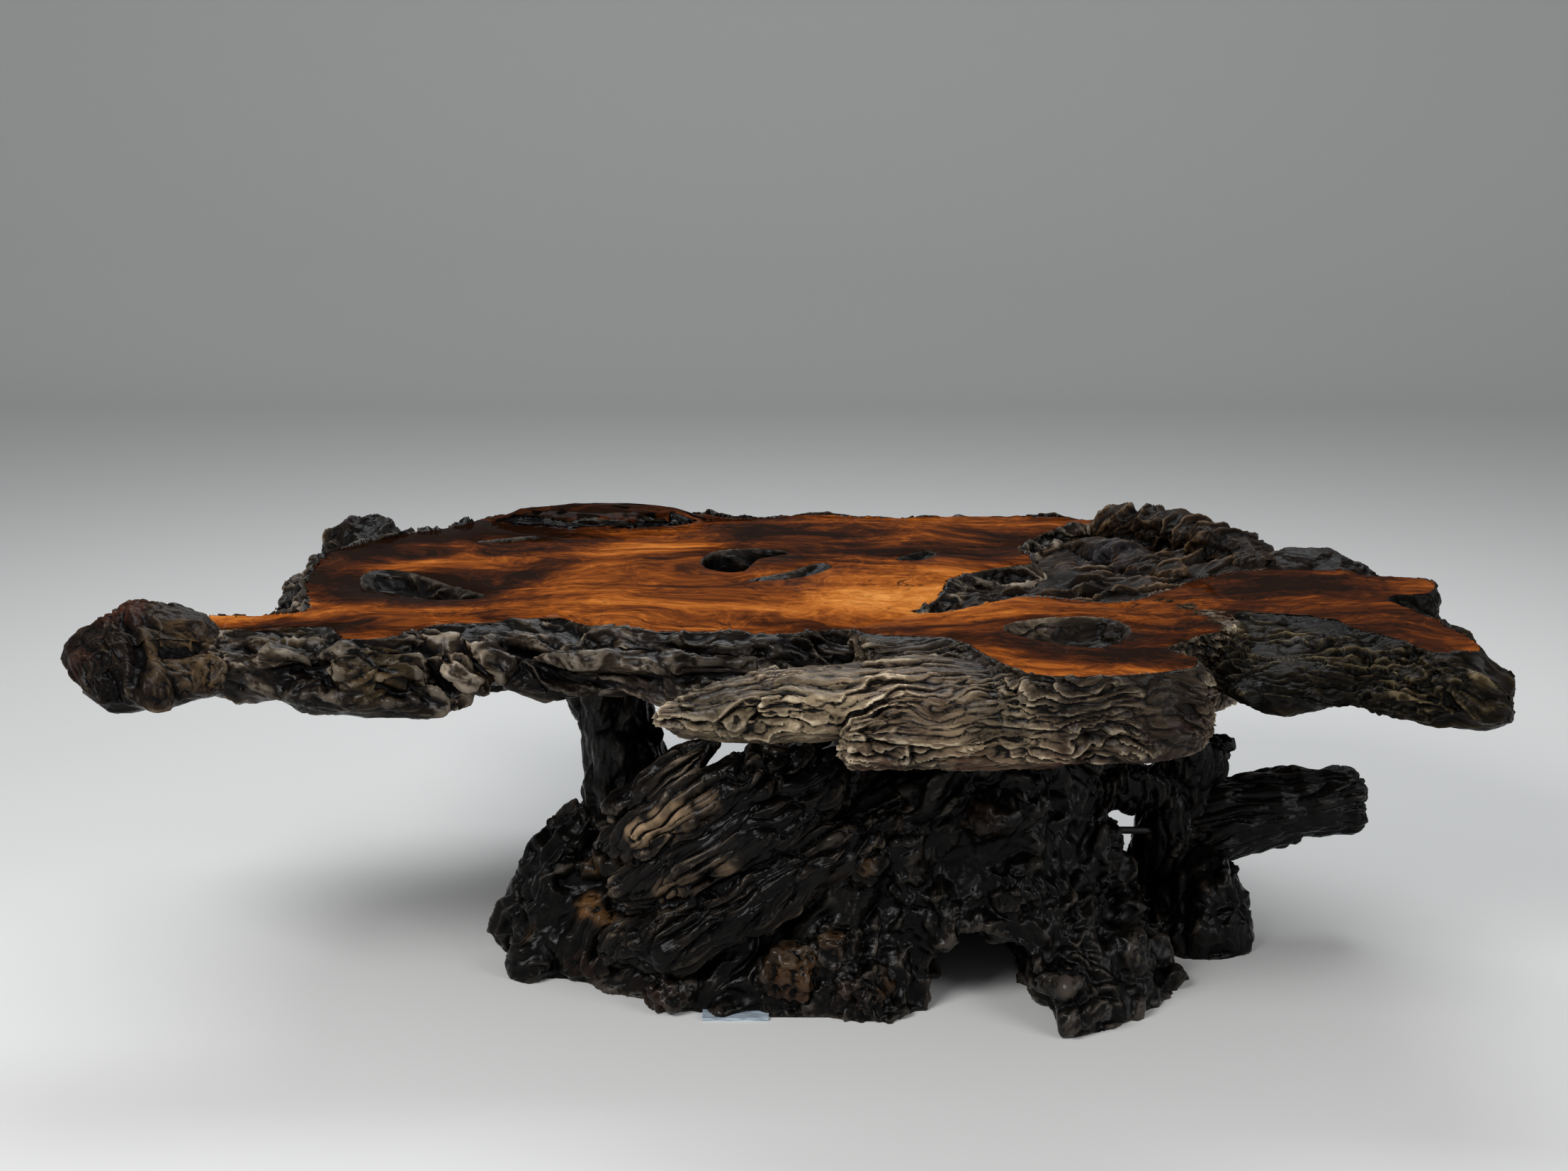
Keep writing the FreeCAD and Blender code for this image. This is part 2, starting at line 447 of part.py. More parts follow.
def level_form(size, levels, outline, reach, flutes, turn):
    """A fluted root over outlines at several levels; outline(angle, stage) gives a share."""
    height = size["top_height"] - size["slab_thickness"]
    sides = FULL_TURN // ROOT_STEP
    rings = []
    for rise, mid_x, mid_y, stage in levels:
        ring = []
        for side in range(sides):
            angle = math.radians(side * ROOT_STEP)
            flute = size["flute_depth"] * math.sin(flutes * angle + turn * rise * flutes)
            radius = reach * outline(side * ROOT_STEP, stage) + flute
            ring.append(Vector(
                mid_x * size["base_length"] + radius * math.cos(angle),
                mid_y * size["base_depth"] + radius * math.sin(angle),
                rise * height,
            ))
        rings.append(ring)
    return stacked(rings)


def share_at(table, degrees):
    """The table's share at an angle, taken between its evenly turned entries."""
    place = degrees / FULL_TURN * len(table)
    index = int(place)
    return between(table[index % len(table)], table[(index + 1) % len(table)], place - index)


def stump_outline(degrees, stage):
    """Reach share of the stump at an angle, from floor (0) by waist (1) to crown (2)."""
    floor = share_at(STUMP_FLOOR_REACH_SHARES, degrees)
    waist = share_at(STUMP_WAIST_REACH_SHARES, degrees)
    crown = share_at(STUMP_CROWN_REACH_SHARES, degrees)
    return between(floor, waist, stage) if stage < 1 else between(waist, crown, stage - 1)


def stump_level(rise):
    """Middle and stage of the stump's outline at a height share."""
    for (low, *start), (high, *end) in zip(STUMP_LEVEL_SHARES, STUMP_LEVEL_SHARES[1:]):
        if low <= rise <= high:
            share = (rise - low) / (high - low)
            return [between(a, b, share) for a, b in zip(start, end)]
    raise ValueError(f"{rise} is above the stump")


def boss_form(size, degrees, rise, width):
    """A rounded boss that grows out of the stump's skin at a turn and a height."""
    mid_x, mid_y, stage = stump_level(rise)
    angle = math.radians(degrees)
    outward = Vector(math.cos(angle), math.sin(angle))
    middle = Vector(mid_x * size["base_length"], mid_y * size["base_depth"],
                    rise * (size["top_height"] - size["slab_thickness"]))
    skin = size["stump_reach"] * stump_outline(degrees, stage)
    girth = size["boss_girth"] * width
    return limb_form([
        (middle + outward * (skin + girth * reach), wide, wide)
        for reach, wide in BOSS_PROFILE_SHARES
    ], girth)


def toe_outline(degrees, stage):
    """Reach share of the toe root at an angle, scaled by its stage."""
    return stage * share_at(TOE_REACH_SHARES, degrees)


def bowl_form(size, rows, top, depth, narrowing):
    """A cutter that sinks into the top and narrows: rows are its outline at the top."""
    half_length = size["table_length"] / 2
    half_depth = size["table_depth"] / 2
    line = rounded(rows, SMOOTH_CUTS)
    mid_x = half_length * sum(row[0] for row in line) / len(line)
    mid_y = half_depth * sum(row[1] for row in line) / len(line)
    levels = [(-size["cut_overrun"], 1.0)]
    levels += [(depth * drop, width) for drop, width in narrowing]
    rings = [
        [Vector(between(mid_x, x * half_length, width), between(mid_y, y * half_depth, width), top - drop)
         for x, y in line]
        for drop, width in levels
    ]
    return stacked(rings)


def feature(doc, name, shape):
    """Put a shape that Part's functions made into the document."""
    item = doc.addObject("Part::Feature", name)
    item.Shape = shape
    item.Placement = Placement()
    return item


def scribed(form, neighbours):
    """The form with its neighbours' room cut away, without the crumbs that this leaves."""
    left = form.cut(neighbours)
    solids = [solid for solid in left.Solids if solid.Volume > SMALLEST_SHARE * form.Volume]
    return solids[0] if len(solids) == 1 else Part.makeCompound(solids)


def drilled(doc, name, shape, tools):
    """A node made of a shape with tools cut from it in turn."""
    base = feature(doc, f"{name}_blank", shape)
    for index, tool in enumerate(tools, start=1):
        item = doc.addObject("Part::Cut", f"{name}_cut_{index}")
        item.Base = base
        item.Tool = tool
        base = item
    base.Label = name
    return base


def group(doc, name, members):
    """Members kept as separate solids under one name."""
    item = doc.addObject("Part::Compound", f"{name}_group")
    item.Links = members
    item.Label = name
    return item


def top_place(x, y, z):
    """Expressions for a place in shares of half the table's length, depth and height."""
    return {
        "x": f"Sizes.table_length / 2 * {x}",
        "y": f"Sizes.table_depth / 2 * {y}",
        "z": f"Sizes.top_height * {z}",
    }


def base_place(x, y, z):
    """Expressions for a place in shares of the base's length, depth and height."""
    return {
        "x": f"Sizes.base_length * {x}",
        "y": f"Sizes.base_depth * {y}",
        "z": f"(Sizes.top_height - Sizes.slab_thickness) * {z}",
    }


def origin_plane(body, role):
    """One of a body's own origin planes, found by its role."""
    return next(item for item in body.Origin.OriginFeatures if item.Role == role)


def polygon_sketch(body, name, plane, corners):
    """A closed outline of straight lines on one of a body's own planes."""
    sketch = body.newObject("Sketcher::SketchObject", name)
    sketch.AttachmentSupport = [(origin_plane(body, plane), "")]
    sketch.MapMode = "FlatFace"
    for start, end in zip(corners, corners[1:] + corners[:1]):
        sketch.addGeometry(Part.LineSegment(Vector(*start, 0), Vector(*end, 0)))
    for line in range(len(corners)):
        following = (line + 1) % len(corners)
        sketch.addConstraint(Sketcher.Constraint("Coincident", line, 2, following, 1))
    return sketch


def bound(sketch, name, constraint, expression):
    """Add a named distance to a sketch and bind it to the sheet."""
    index = sketch.addConstraint(constraint)
    sketch.renameConstraint(index, name)
    sketch.setExpression(f"Constraints.{name}", expression)


def peg(doc, name, kind, room, place, turn):
    """A peg with flat sides about its middle, lying along a turn or upright where it is None."""
    bar = doc.addObject("Part::Prism", name)
    bar.Polygon = PEG_SIDES
    length = f"(Sizes.{kind}_length + {2 * room} * Sizes.end_clearance)"
    bar.setExpression("Circumradius", f"Sizes.{kind}_girth / 2 + {room} * Sizes.bore_clearance")
    bar.setExpression("Height", length)
    upright = turn is None
    rotation = Rotation() if upright else Rotation(UPRIGHT, turn).multiply(QUARTER_OVER)
    bar.Placement = Placement(Vector(), rotation)
    back = {
        "x": "0" if upright else f"cos({turn} deg)",
        "y": "0" if upright else f"sin({turn} deg)",
        "z": "1" if upright else "0",
    }
    for axis, expression in place.items():
        bar.setExpression(f"Placement.Base.{axis}", f"{expression} - {back[axis]} * {length} / 2")
    return bar


def peg_set(doc, name, kind, placed):
    """A node of pegs and the group of holes that take them."""
    pegs = []
    holes = []
    for index, (place, turn) in enumerate(placed, start=1):
        pegs.append(peg(doc, f"{name}_{index}", kind, 0, place, turn))
        holes.append(peg(doc, f"{name}_hole_{index}", kind, 1, place, turn))
    return group(doc, name, pegs), group(doc, f"{name}_holes", holes)


def shim_and_seat(doc):
    """The levelling shim under the front foot and the cutter for its seat in the stump."""
    body = doc.addObject("PartDesign::Body", "foot_shim")
    corners = [(0, 0), (1, 0), (1, 1), (0, 1)]
    sketch = polygon_sketch(body, "shim_outline", "XY_Plane", corners)
    for line, direction in enumerate(("Horizontal", "Vertical", "Horizontal", "Vertical")):
        sketch.addConstraint(Sketcher.Constraint(direction, line))
    sketch.addConstraint(Sketcher.Constraint("Symmetric", 0, 1, 1, 2, -1, 1))
    bound(sketch, "long", Sketcher.Constraint("DistanceX", 0, 1, 0, 2, 1), "Sizes.shim_length")
    bound(sketch, "wide", Sketcher.Constraint("DistanceY", 1, 1, 1, 2, 1), "Sizes.shim_width")
    pad = body.newObject("PartDesign::Pad", "shim_pad")
    pad.Profile = sketch
    pad.setExpression("Length", "Sizes.shim_thickness")
    seat = doc.addObject("Part::Box", "shim_seat")
    length = "Sizes.shim_length + 2 * Sizes.end_clearance"
    width = "Sizes.shim_width + 2 * Sizes.end_clearance"
    seat.setExpression("Length", length)
    seat.setExpression("Width", width)
    seat.setExpression("Height", "Sizes.shim_thickness + Sizes.cut_overrun")
    x, y = SHIM_SHARES
    body.setExpression("Placement.Base.x", f"Sizes.base_length * {x}")
    body.setExpression("Placement.Base.y", f"Sizes.base_depth * {y}")
    seat.setExpression("Placement.Base.x", f"Sizes.base_length * {x} - ({length}) / 2")
    seat.setExpression("Placement.Base.y", f"Sizes.base_depth * {y} - ({width}) / 2")
    seat.setExpression("Placement.Base.z", "-Sizes.cut_overrun")
    return body, seat


def top_forms(size):
    """The whole forms of the top's pieces, before they are scribed to each other."""
    top = size["top_height"]

    def lumps(paths, girth):
        return [top_limb(size, rows, size[girth]) for rows in paths]

    sink = size["ridge_sink"]
    return {
        "slab": joined([edge_form(size, SLAB_SHARES, top, size["slab_thickness"])]
                       + lumps(SLAB_LUMP_PATHS_SHARES + SLAB_FOLD_PATHS_SHARES, "swell_girth")),
        "ledge": joined([edge_form(size, LEDGE_SHARES, top, size["ledge_thickness"])]
                        + lumps(LEDGE_ARM_PATHS_SHARES, "arm_girth")),
        "wing": edge_form(size, WING_SHARES, top, size["wing_thickness"]),
        "ridge": joined([edge_form(size, RIDGE_SHARES, top - sink, size["slab_thickness"] - sink)]
                        + lumps(RIDGE_PATHS_SHARES, "ridge_girth")),
        "rear_burl": joined(lumps(REAR_BURL_PATHS_SHARES, "rear_burl_girth")),
        "left_burl": joined(lumps(LEFT_BURL_PATHS_SHARES, "burl_girth")),
        "knob": joined(lumps(REAR_KNOB_PATHS_SHARES, "knob_girth")),
    }


def base_forms(size):
    """The whole forms of the roots, before they are scribed to each other."""

    def limb(rows, girth):
        return base_limb(size, rows, size[girth])

    stump = level_form(size, STUMP_LEVEL_SHARES, stump_outline, size["stump_reach"],
                       STUMP_FLUTES, STUMP_FLUTE_TURN_SHARE)
    return {
        "stump": joined([stump] + [boss_form(size, *row) for row in STUMP_BOSS_SHARES]),
        "toe": level_form(size, TOE_LEVEL_SHARES, toe_outline, size["toe_reach"],
                          TOE_FLUTES, 0),
        "left_post": limb(LEFT_POST_PATH_SHARES, "left_post_girth"),
        "splinters": joined([limb(rows, "splinter_girth") for rows in SPLINTER_PATHS_SHARES]),
        "right_post": joined([limb(rows, "right_post_girth") for rows in RIGHT_POST_PATHS_SHARES]),
        "branch": limb(BRANCH_PATH_SHARES, "branch_girth"),
        "rear_root": limb(REAR_ROOT_PATH_SHARES, "rear_root_girth"),
        "arch": limb(ARCH_PATH_SHARES, "arch_girth"),
    }


def headroom(size, rows):
    """The room over a polished face, which its neighbours keep clear of."""
    half_length = size["table_length"] / 2
    half_depth = size["table_depth"] / 2
    outline = [
        Vector(row[0] * half_length, row[1] * half_depth, size["top_height"])
        for row in rounded(rows, SMOOTH_CUTS)
    ]
    face = Part.Face(Part.makePolygon(outline + outline[:1]))
    return face.extrude(UPRIGHT * size["slab_thickness"])


def ground_block(size):
    """The room under the floor, which every foot is cut flat to."""
    length, depth, height = size["table_length"], size["table_depth"], size["top_height"]
    return Part.makeBox(length, depth, height, Vector(-length / 2, -depth / 2, -height))


def main():
    """Build the table, check it and write each piece."""
    doc = FreeCAD.newDocument("LiveEdgeTable")
    size = make_sheet(doc)
    top = top_forms(size)
    base = base_forms(size)
    ground = ground_block(size)
    over_slab = headroom(size, SLAB_SHARES)
    height = size["top_height"]

    def dowels(name, rows, place_of):
        return peg_set(doc, name, "dowel", [
            (place_of(x, y, z), turn) for x, y, z, turn in rows])

    ledge_dowels, ledge_bores = dowels("ledge_dowels", LEDGE_DOWEL_SHARES, top_place)
    wing_dowels, wing_bores = dowels("wing_dowels", WING_DOWEL_SHARES, top_place)
    ridge_dowels, ridge_bores = dowels("ridge_dowels", RIDGE_DOWEL_SHARES, top_place)
    burl_dowels, burl_bores = dowels("burl_dowels", BURL_DOWEL_SHARES, top_place)
    root_dowels, root_bores = dowels("root_dowels", ROOT_DOWEL_SHARES, base_place)
    tie_dowel, tie_bores = peg_set(doc, "tie_dowel", "tie", [
        (base_place(x, y, z), turn) for x, y, z, turn in TIE_SHARES])
    top_pins, pin_bores = peg_set(doc, "top_pins", "pin", [
        (base_place(*place), None) for place in PIN_SHARES])
    foot_shim, shim_seat = shim_and_seat(doc)

    def hollows(name, outlines, depth, narrowing):
        return group(doc, name, [
            feature(doc, f"{name}_{index}", bowl_form(size, rows, height, depth, narrowing))
            for index, rows in enumerate(outlines, start=1)])

    deep = hollows("deep_hollows", (LEFT_HOLLOW_SHARES,), size["hollow_depth"],
                   BOWL_NARROWING_SHARES)
    shallow = hollows("shallow_hollows", (SLOT_SHARES, MIDDLE_HOLLOW_SHARES, SMALL_HOLLOW_SHARES),
                      size["shallow_depth"], BOWL_NARROWING_SHARES)
    through = hollows("through_hole", (THROUGH_HOLE_SHARES,),
                      size["slab_thickness"] + size["cut_overrun"],
                      ((0.0, 1.0), (1.0, HOLE_NARROWING_SHARE)))
    ledge_hollow = hollows("ledge_hollow", (LEDGE_HOLLOW_SHARES,), size["hollow_depth"],
                           BOWL_NARROWING_SHARES)

    slab_hollows = group(doc, "slab_hollows", [deep, shallow, through])
    slab_bores = group(doc, "slab_bores", [ledge_bores, ridge_bores, burl_bores, pin_bores])
    seam_bores = group(doc, "seam_bores", [ledge_bores, wing_bores, pin_bores])
    wing_all = group(doc, "wing_all_bores", [wing_bores, ridge_bores, burl_bores])
    ridge_all = group(doc, "ridge_all_bores", [ledge_bores, ridge_bores, pin_bores])
    root_all = group(doc, "root_all_bores", [pin_bores, root_bores, tie_bores])

    def node(name, form, neighbours, tools):
        return drilled(doc, name, scribed(form, neighbours) if neighbours else form, tools)

    nodes = [
        node("main_slab", top["slab"], [], [slab_hollows, slab_bores]),
        node("front_ledge", top["ledge"], [top["slab"]], [ledge_hollow, seam_bores]),
        node("right_wing", top["wing"], [top["ledge"]], [wing_all]),
        node("rear_ridge", top["ridge"], [top["slab"], top["ledge"], top["wing"]], [ridge_all]),
        node("rear_burl", top["rear_burl"], [top["wing"], top["ridge"]], [burl_bores]),
        node("left_end_burl", top["left_burl"], [top["slab"], over_slab], [burl_bores]),
        node("rear_left_knob", top["knob"], [top["slab"], over_slab], [burl_bores]),
        node("root_stump", base["stump"], [top["ledge"], top["slab"], base["arch"], ground],
             [shim_seat, root_all]),
        node("left_toe_root", base["toe"], [base["stump"]], [root_bores]),
        node("left_post", base["left_post"], [top["slab"], base["stump"], base["toe"], ground],
             [pin_bores]),
        node("splinter_roots", base["splinters"],
             [base["stump"], base["toe"], base["left_post"], top["ledge"], top["slab"]],
             [root_bores]),
        node("right_post", base["right_post"],
             [top["ledge"], top["wing"], top["ridge"], base["stump"], ground], [root_all]),
        node("right_branch", base["branch"], [base["right_post"]], [root_bores]),
        node("rear_root", base["rear_root"],
             [base["right_post"], base["stump"], base["branch"], ground], []),
        ledge_dowels, wing_dowels, ridge_dowels, burl_dowels, root_dowels, tie_dowel, top_pins,
        foot_shim,
    ]
    doc.recompute()
    for item in doc.Objects:
        if "Invalid" in item.State or "Error" in item.State:
            raise RuntimeError(f"{item.Name} did not build: {item.State}")
    os.makedirs("parts", exist_ok=True)
    for item in nodes:
        shape = item.Shape
        if shape.isNull() or not shape.isValid() or not shape.Solids:
            raise RuntimeError(f"{item.Label} has no sound shape")
        shape.exportStep(f"parts/{item.Label}.step")
        print(item.Label, len(shape.Solids), "solids", round(shape.Volume / CUBIC_MM_IN_LITRE, 2), "l")


main()
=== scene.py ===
"""Live edge coffee table: a polished burl top with natural bark edges on a base of roots.

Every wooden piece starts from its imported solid, is remeshed finely and carved by code.
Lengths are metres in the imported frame: +X to the right of the front, +Y to the back, +Z up.
"""

import logging
import math
from dataclasses import dataclass, field
from enum import Enum
from typing import Any, Iterable, Mapping, Optional, Sequence

import bmesh
import bpy
import numpy as np
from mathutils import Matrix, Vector
from mathutils.bvhtree import BVHTree


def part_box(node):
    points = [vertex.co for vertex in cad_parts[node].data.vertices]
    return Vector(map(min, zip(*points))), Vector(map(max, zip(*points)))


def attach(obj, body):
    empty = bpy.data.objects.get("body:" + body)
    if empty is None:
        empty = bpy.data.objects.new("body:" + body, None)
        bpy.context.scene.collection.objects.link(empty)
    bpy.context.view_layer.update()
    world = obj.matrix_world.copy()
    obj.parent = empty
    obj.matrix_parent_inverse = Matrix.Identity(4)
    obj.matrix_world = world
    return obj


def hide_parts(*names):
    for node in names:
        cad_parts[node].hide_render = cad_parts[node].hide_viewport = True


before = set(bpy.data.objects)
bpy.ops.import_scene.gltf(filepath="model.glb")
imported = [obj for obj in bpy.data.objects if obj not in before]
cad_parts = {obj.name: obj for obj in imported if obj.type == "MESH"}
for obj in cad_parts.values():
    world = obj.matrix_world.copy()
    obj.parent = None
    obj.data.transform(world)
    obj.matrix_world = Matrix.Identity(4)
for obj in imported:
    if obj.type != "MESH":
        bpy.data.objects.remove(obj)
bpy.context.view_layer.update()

LOG = logging.getLogger("live_edge_table")

BODY = "root"
TOP_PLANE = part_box("front_ledge")[1][2]
TRIANGLE_CEILING = 190_000
SPECK_VERTICES = 200
WELD = 1e-6
CONTACT_REACH = 0.006
CONTACT_FACING = -0.55
FOOT_BAND = 0.004
CREST_PASSES = 14
FINE_PASSES = 3
FORM_PASSES = 60
LEAST_POLISH = 0.02
DOME_LAYERS = ((1.0, 0.040), (0.5, 0.020), (0.22, 0.010))
LIP_SHARE = 0.14
STRAND_SHARPNESS = 0.65
FINE_STRANDS = (1.5, 2.3, 2.3)
MICRO_STRANDS = (2.5, 4.6, 4.6)
BUMP_DISTANCE = 0.003
SWELL_BAND = (TOP_PLANE + 0.0004, TOP_PLANE + 0.0012)
EDGE_BAND = (TOP_PLANE - 0.0011, TOP_PLANE - 0.0003)
SENSOR_WIDTH = 36.0

Point = tuple[float, float, float]
Colour = tuple[float, float, float]
Tint = tuple[int, int, int]


class Lattice:
    """Gradient noise over a fixed lattice of random directions, the same on each run."""

    SIZE = 256
    STRENGTH = 1.6
    OCTAVE = 2.03
    ROLL_HEIGHT = 1.12
    ROLL_STEEPNESS = 2.8

    def __init__(self, seed: int) -> None:
        """Draw the lattice.

        Args:
            seed: picks it.
        """
        chance = np.random.default_rng(seed)
        order = chance.permutation(self.SIZE).astype(np.int32)
        self.order = np.concatenate([order, order, order])
        ways = chance.normal(size=(self.SIZE, 3))
        self.ways = (ways / np.linalg.norm(ways, axis=1)[:, None]).astype(np.float32)

    def at(self, points: np.ndarray) -> np.ndarray:
        """Noise at points.

        Args:
            points: (n, 3) places, in lattice cells.

        Returns:
            (n,) values, mostly between -1 and 1.
        """
        points = points.astype(np.float32)
        cell = np.floor(points).astype(np.int32)
        inside = points - cell
        cell &= self.SIZE - 1
        fade = inside ** 3 * (inside * (inside * 6 - 15) + 10)
        total = np.zeros(len(points), np.float32)
        for dx in (0, 1):
            wx = fade[:, 0] if dx else 1 - fade[:, 0]
            first = self.order[cell[:, 0] + dx]
            for dy in (0, 1):
                wy = wx * (fade[:, 1] if dy else 1 - fade[:, 1])
                second = self.order[first + cell[:, 1] + dy]
                for dz in (0, 1):
                    weight = wy * (fade[:, 2] if dz else 1 - fade[:, 2])
                    way = self.ways[self.order[second + cell[:, 2] + dz]]
                    offset = inside - np.array((dx, dy, dz), np.float32)
                    total += weight * np.einsum("ij,ij->i", way, offset)
        return total * self.STRENGTH

    def vector(self, points: np.ndarray) -> np.ndarray:
        """Three fields at once, for pushing points about."""
        shifts = ((0.0, 0.0, 0.0), (31.7, 11.3, 57.1), (73.9, 41.2, 19.6))
        return np.stack([self.at(points + np.array(shift)) for shift in shifts], axis=1)

    def layered(self, points: np.ndarray, layers: int, gain: float = 0.5) -> np.ndarray:
        """Several octaves of noise.

        Args:
            points: (n, 3) places, in cells of the first octave.
            layers: how many octaves.
            gain: strength of each octave over the one before.

        Returns:
            (n,) values.
        """
        total = np.zeros(len(points), np.float32)
        for layer in range(layers):
            total += gain ** layer * self.at(points * self.OCTAVE ** layer + 17.3 * layer)
        return total

    def rolls(self, points: np.ndarray, sharpness: float = 0.7) -> np.ndarray:
        """Rounded rolls with narrow grooves between them, from 0 in a groove to 1."""
        rise = 1 - np.exp(-self.ROLL_STEEPNESS * np.abs(self.at(points)))
        return (self.ROLL_HEIGHT * rise) ** sharpness


def smooth_step(low: float, high: float, value: np.ndarray) -> np.ndarray:
    """Hermite step from 0 at low to 1 at high."""
    t = np.clip((value - low) / (high - low), 0, 1)
    return t * t * (3 - 2 * t)


class Surface(Enum):
    """How a piece's skin is formed."""

    FOLDED = "folded"      # broad folds with creases between them
    DRAPED = "draped"      # sharp crests with smooth hollows between them
    FLOWING = "flowing"    # soft folds, as if the wood had run
    STRANDED = "stranded"  # long strands that follow the grain
    FIBROUS = "fibrous"    # split roots, with long straight strands
    WARTY = "warty"        # burl lumps with hardly any grain


class Slot(Enum):
    """The wooden finishes, by the names of their slots."""

    POLISHED_BURL = "polished_burl"
    DRIFTWOOD = "driftwood"
    BURL_AND_BARK = "burl_and_bark"
    ROUGH_BARK = "rough_bark"
    LIVE_EDGE_KNOB = "live_edge_knob"
    DARK_ROOT = "dark_root"
    PALE_SPLINTER = "pale_splinter"


@dataclass(frozen=True)
class Weights:
    """Shares of a relief's depth that its kinds of form take, and how sharp its folds are."""

    folds: float
    ridges: float
    strands: float
    fine: float
    micro: float
    domes: float
    sheets: float
    sharpness: float


WEIGHTS = {
    Surface.FOLDED: Weights(0.90, 0.30, 0.12, 0.04, 0.02, 0.00, 0.22, 0.8),
    Surface.DRAPED: Weights(0.50, 0.80, 0.20, 0.07, 0.02, 0.00, 0.25, 1.1),
    Surface.FLOWING: Weights(0.80, 0.30, 0.14, 0.04, 0.01, 0.00, 0.15, 1.1),
    Surface.STRANDED: Weights(0.40, 0.10, 0.34, 0.12, 0.03, 0.00, 0.70, 0.8),
    Surface.FIBROUS: Weights(0.60, 0.20, 0.55, 0.12, 0.03, 0.00, 0.10, 0.8),
    Surface.WARTY: Weights(0.55, 0.18, 0.10, 0.04, 0.02, 0.62, 0.00, 1.1),
}


@dataclass(frozen=True)
class Relief:
    """The relief that is carved into a skin.

    Args:
        surface: the kind of skin.
        grain: direction in which folds and strands run.
        fold: width of a fold.
        strand: width of a strand.
        stretch: length of a strand over its width; folds take half of it.
        depth: height from groove to crest.
        lump: size of the lumps under the folds.
        lump_depth: height of those lumps.
        wander: how far the grain is pushed about, over wander_size.
        wander_size: length over which the grain changes its way.
        lean: direction in which crests hang over, as a share of their height.
        tilt: how far the sheets lean back, in degrees.
        fibre_depth: height of the finest fibres.
        pit_depth: depth of the small pits.
        seed: picks the noise.
    """

    surface: Surface
    grain: Point
    fold: float
    strand: float
    stretch: float
    depth: float
    lump: float
    lump_depth: float
    wander: float = 0.016
    wander_size: float = 0.11
    lean: Point = (0.0, 0.0, 0.0)
    tilt: float = 0.0
    fibre_depth: float = 0.0004
    pit_depth: float = 0.0003
    seed: int = 7

    def height(self, points: np.ndarray, knots: Sequence["Knot"]) -> tuple[np.ndarray, np.ndarray]:
        """The relief at points.

        Args:
            points: (n, 3) places.
            knots: knots round which the grain parts.

        Returns:
            The height and the grain's coordinates at each point.
        """
        noise = Lattice(self.seed)
        pushed = points + self.wander * noise.vector(points / self.wander_size)
        pushed += 0.3 * self.wander * noise.vector(points / (0.35 * self.wander_size) + 5.0)
        for knot in knots:
            pushed = pushed + knot.part(points)
        local = pushed @ grain_axes(self.grain).T
        strands = local / np.array((self.strand * self.stretch, self.strand, self.strand))
        folds = local / np.array((self.fold * max(0.5 * self.stretch, 1.6), self.fold, self.fold))
        weights = WEIGHTS[self.surface]
        sharp = weights.sharpness
        height = weights.folds * (noise.rolls(folds + 13.0, sharp) - 0.5)
        height += weights.ridges * (0.62 - noise.rolls(folds * 1.45 + 31.0, sharp))
        height += weights.strands * (noise.rolls(strands, STRAND_SHARPNESS) - 0.6)
        height += weights.fine * (noise.rolls(strands * np.array(FINE_STRANDS) + 9.0, STRAND_SHARPNESS) - 0.6)
        height += weights.micro * (noise.rolls(strands * np.array(MICRO_STRANDS) + 4.0) - 0.6)
        if weights.domes:
            for share, size in DOME_LAYERS:
                domes = smooth_step(0.02, 0.62, noise.at(pushed / size + 21.0 * size / 0.01))
                height += share * weights.domes * (domes - 0.25)
        height += weights.sheets * self.sheets(local, noise)
        height *= 0.50 + 0.75 * smooth_step(-0.40, 0.40, noise.at(points / 0.075 + 40.0))
        lumps = noise.layered(pushed / self.lump + 3.0, 2)
        return self.depth * height + self.lump_depth * lumps, strands

    def sheets(self, local: np.ndarray, noise: Lattice) -> np.ndarray:
        """Wavy sheets that lie over each other, each with a lip that hangs over the next.

        Args:
            local: (n, 3) places along, across and over the grain.
            noise: what makes the sheets wavy.

        Returns:
            (n,) heights, about -0.5 to 0.5.
        """
        total = np.zeros(len(local))
        tilt = math.radians(self.tilt)
        over = math.cos(tilt) * local[:, 2] + math.sin(tilt) * local[:, 1]
        for share, thick in ((1.0, 0.6 * self.fold), (0.7, self.strand)):
            wavy = noise.layered(local / np.array((7.0, 3.0, 3.0)) / thick + 9.0 * share, 3)
            place = over / thick + 1.5 * wavy
            inside = place - np.floor(place)
            lip = np.where(inside < LIP_SHARE, inside / LIP_SHARE,
                           1 - 0.85 * (inside - LIP_SHARE) / 0.86)
            fade = smooth_step(-0.5, 0.3, noise.at(local / np.array((0.16, 0.05, 0.05)) + 21.0 * share))
            total += share * fade * (lip - 0.6)
        return total


@dataclass(frozen=True)
class Blend:
    """A second relief, which takes over along the way from start to end."""

    relief: Relief
    start: Point
    end: Point

    def share(self, points: np.ndarray, noise: Lattice) -> np.ndarray:
        """How far the second relief has taken over.

        Args:
            points: (n, 3) places.
            noise: what makes the change ragged.

        Returns:
            (n,) shares from 0 to 1.
        """
        a, b = np.array(self.start), np.array(self.end)
        span = b - a
        t = (points - a) @ span / (span @ span)
        return smooth_step(0.0, 1.0, t + 0.5 * noise.at(points / 0.05))


@dataclass(frozen=True)
class Spot:
    """A soft-edged place of another tint on a skin."""

    place: Point
    radius: float
    share: float


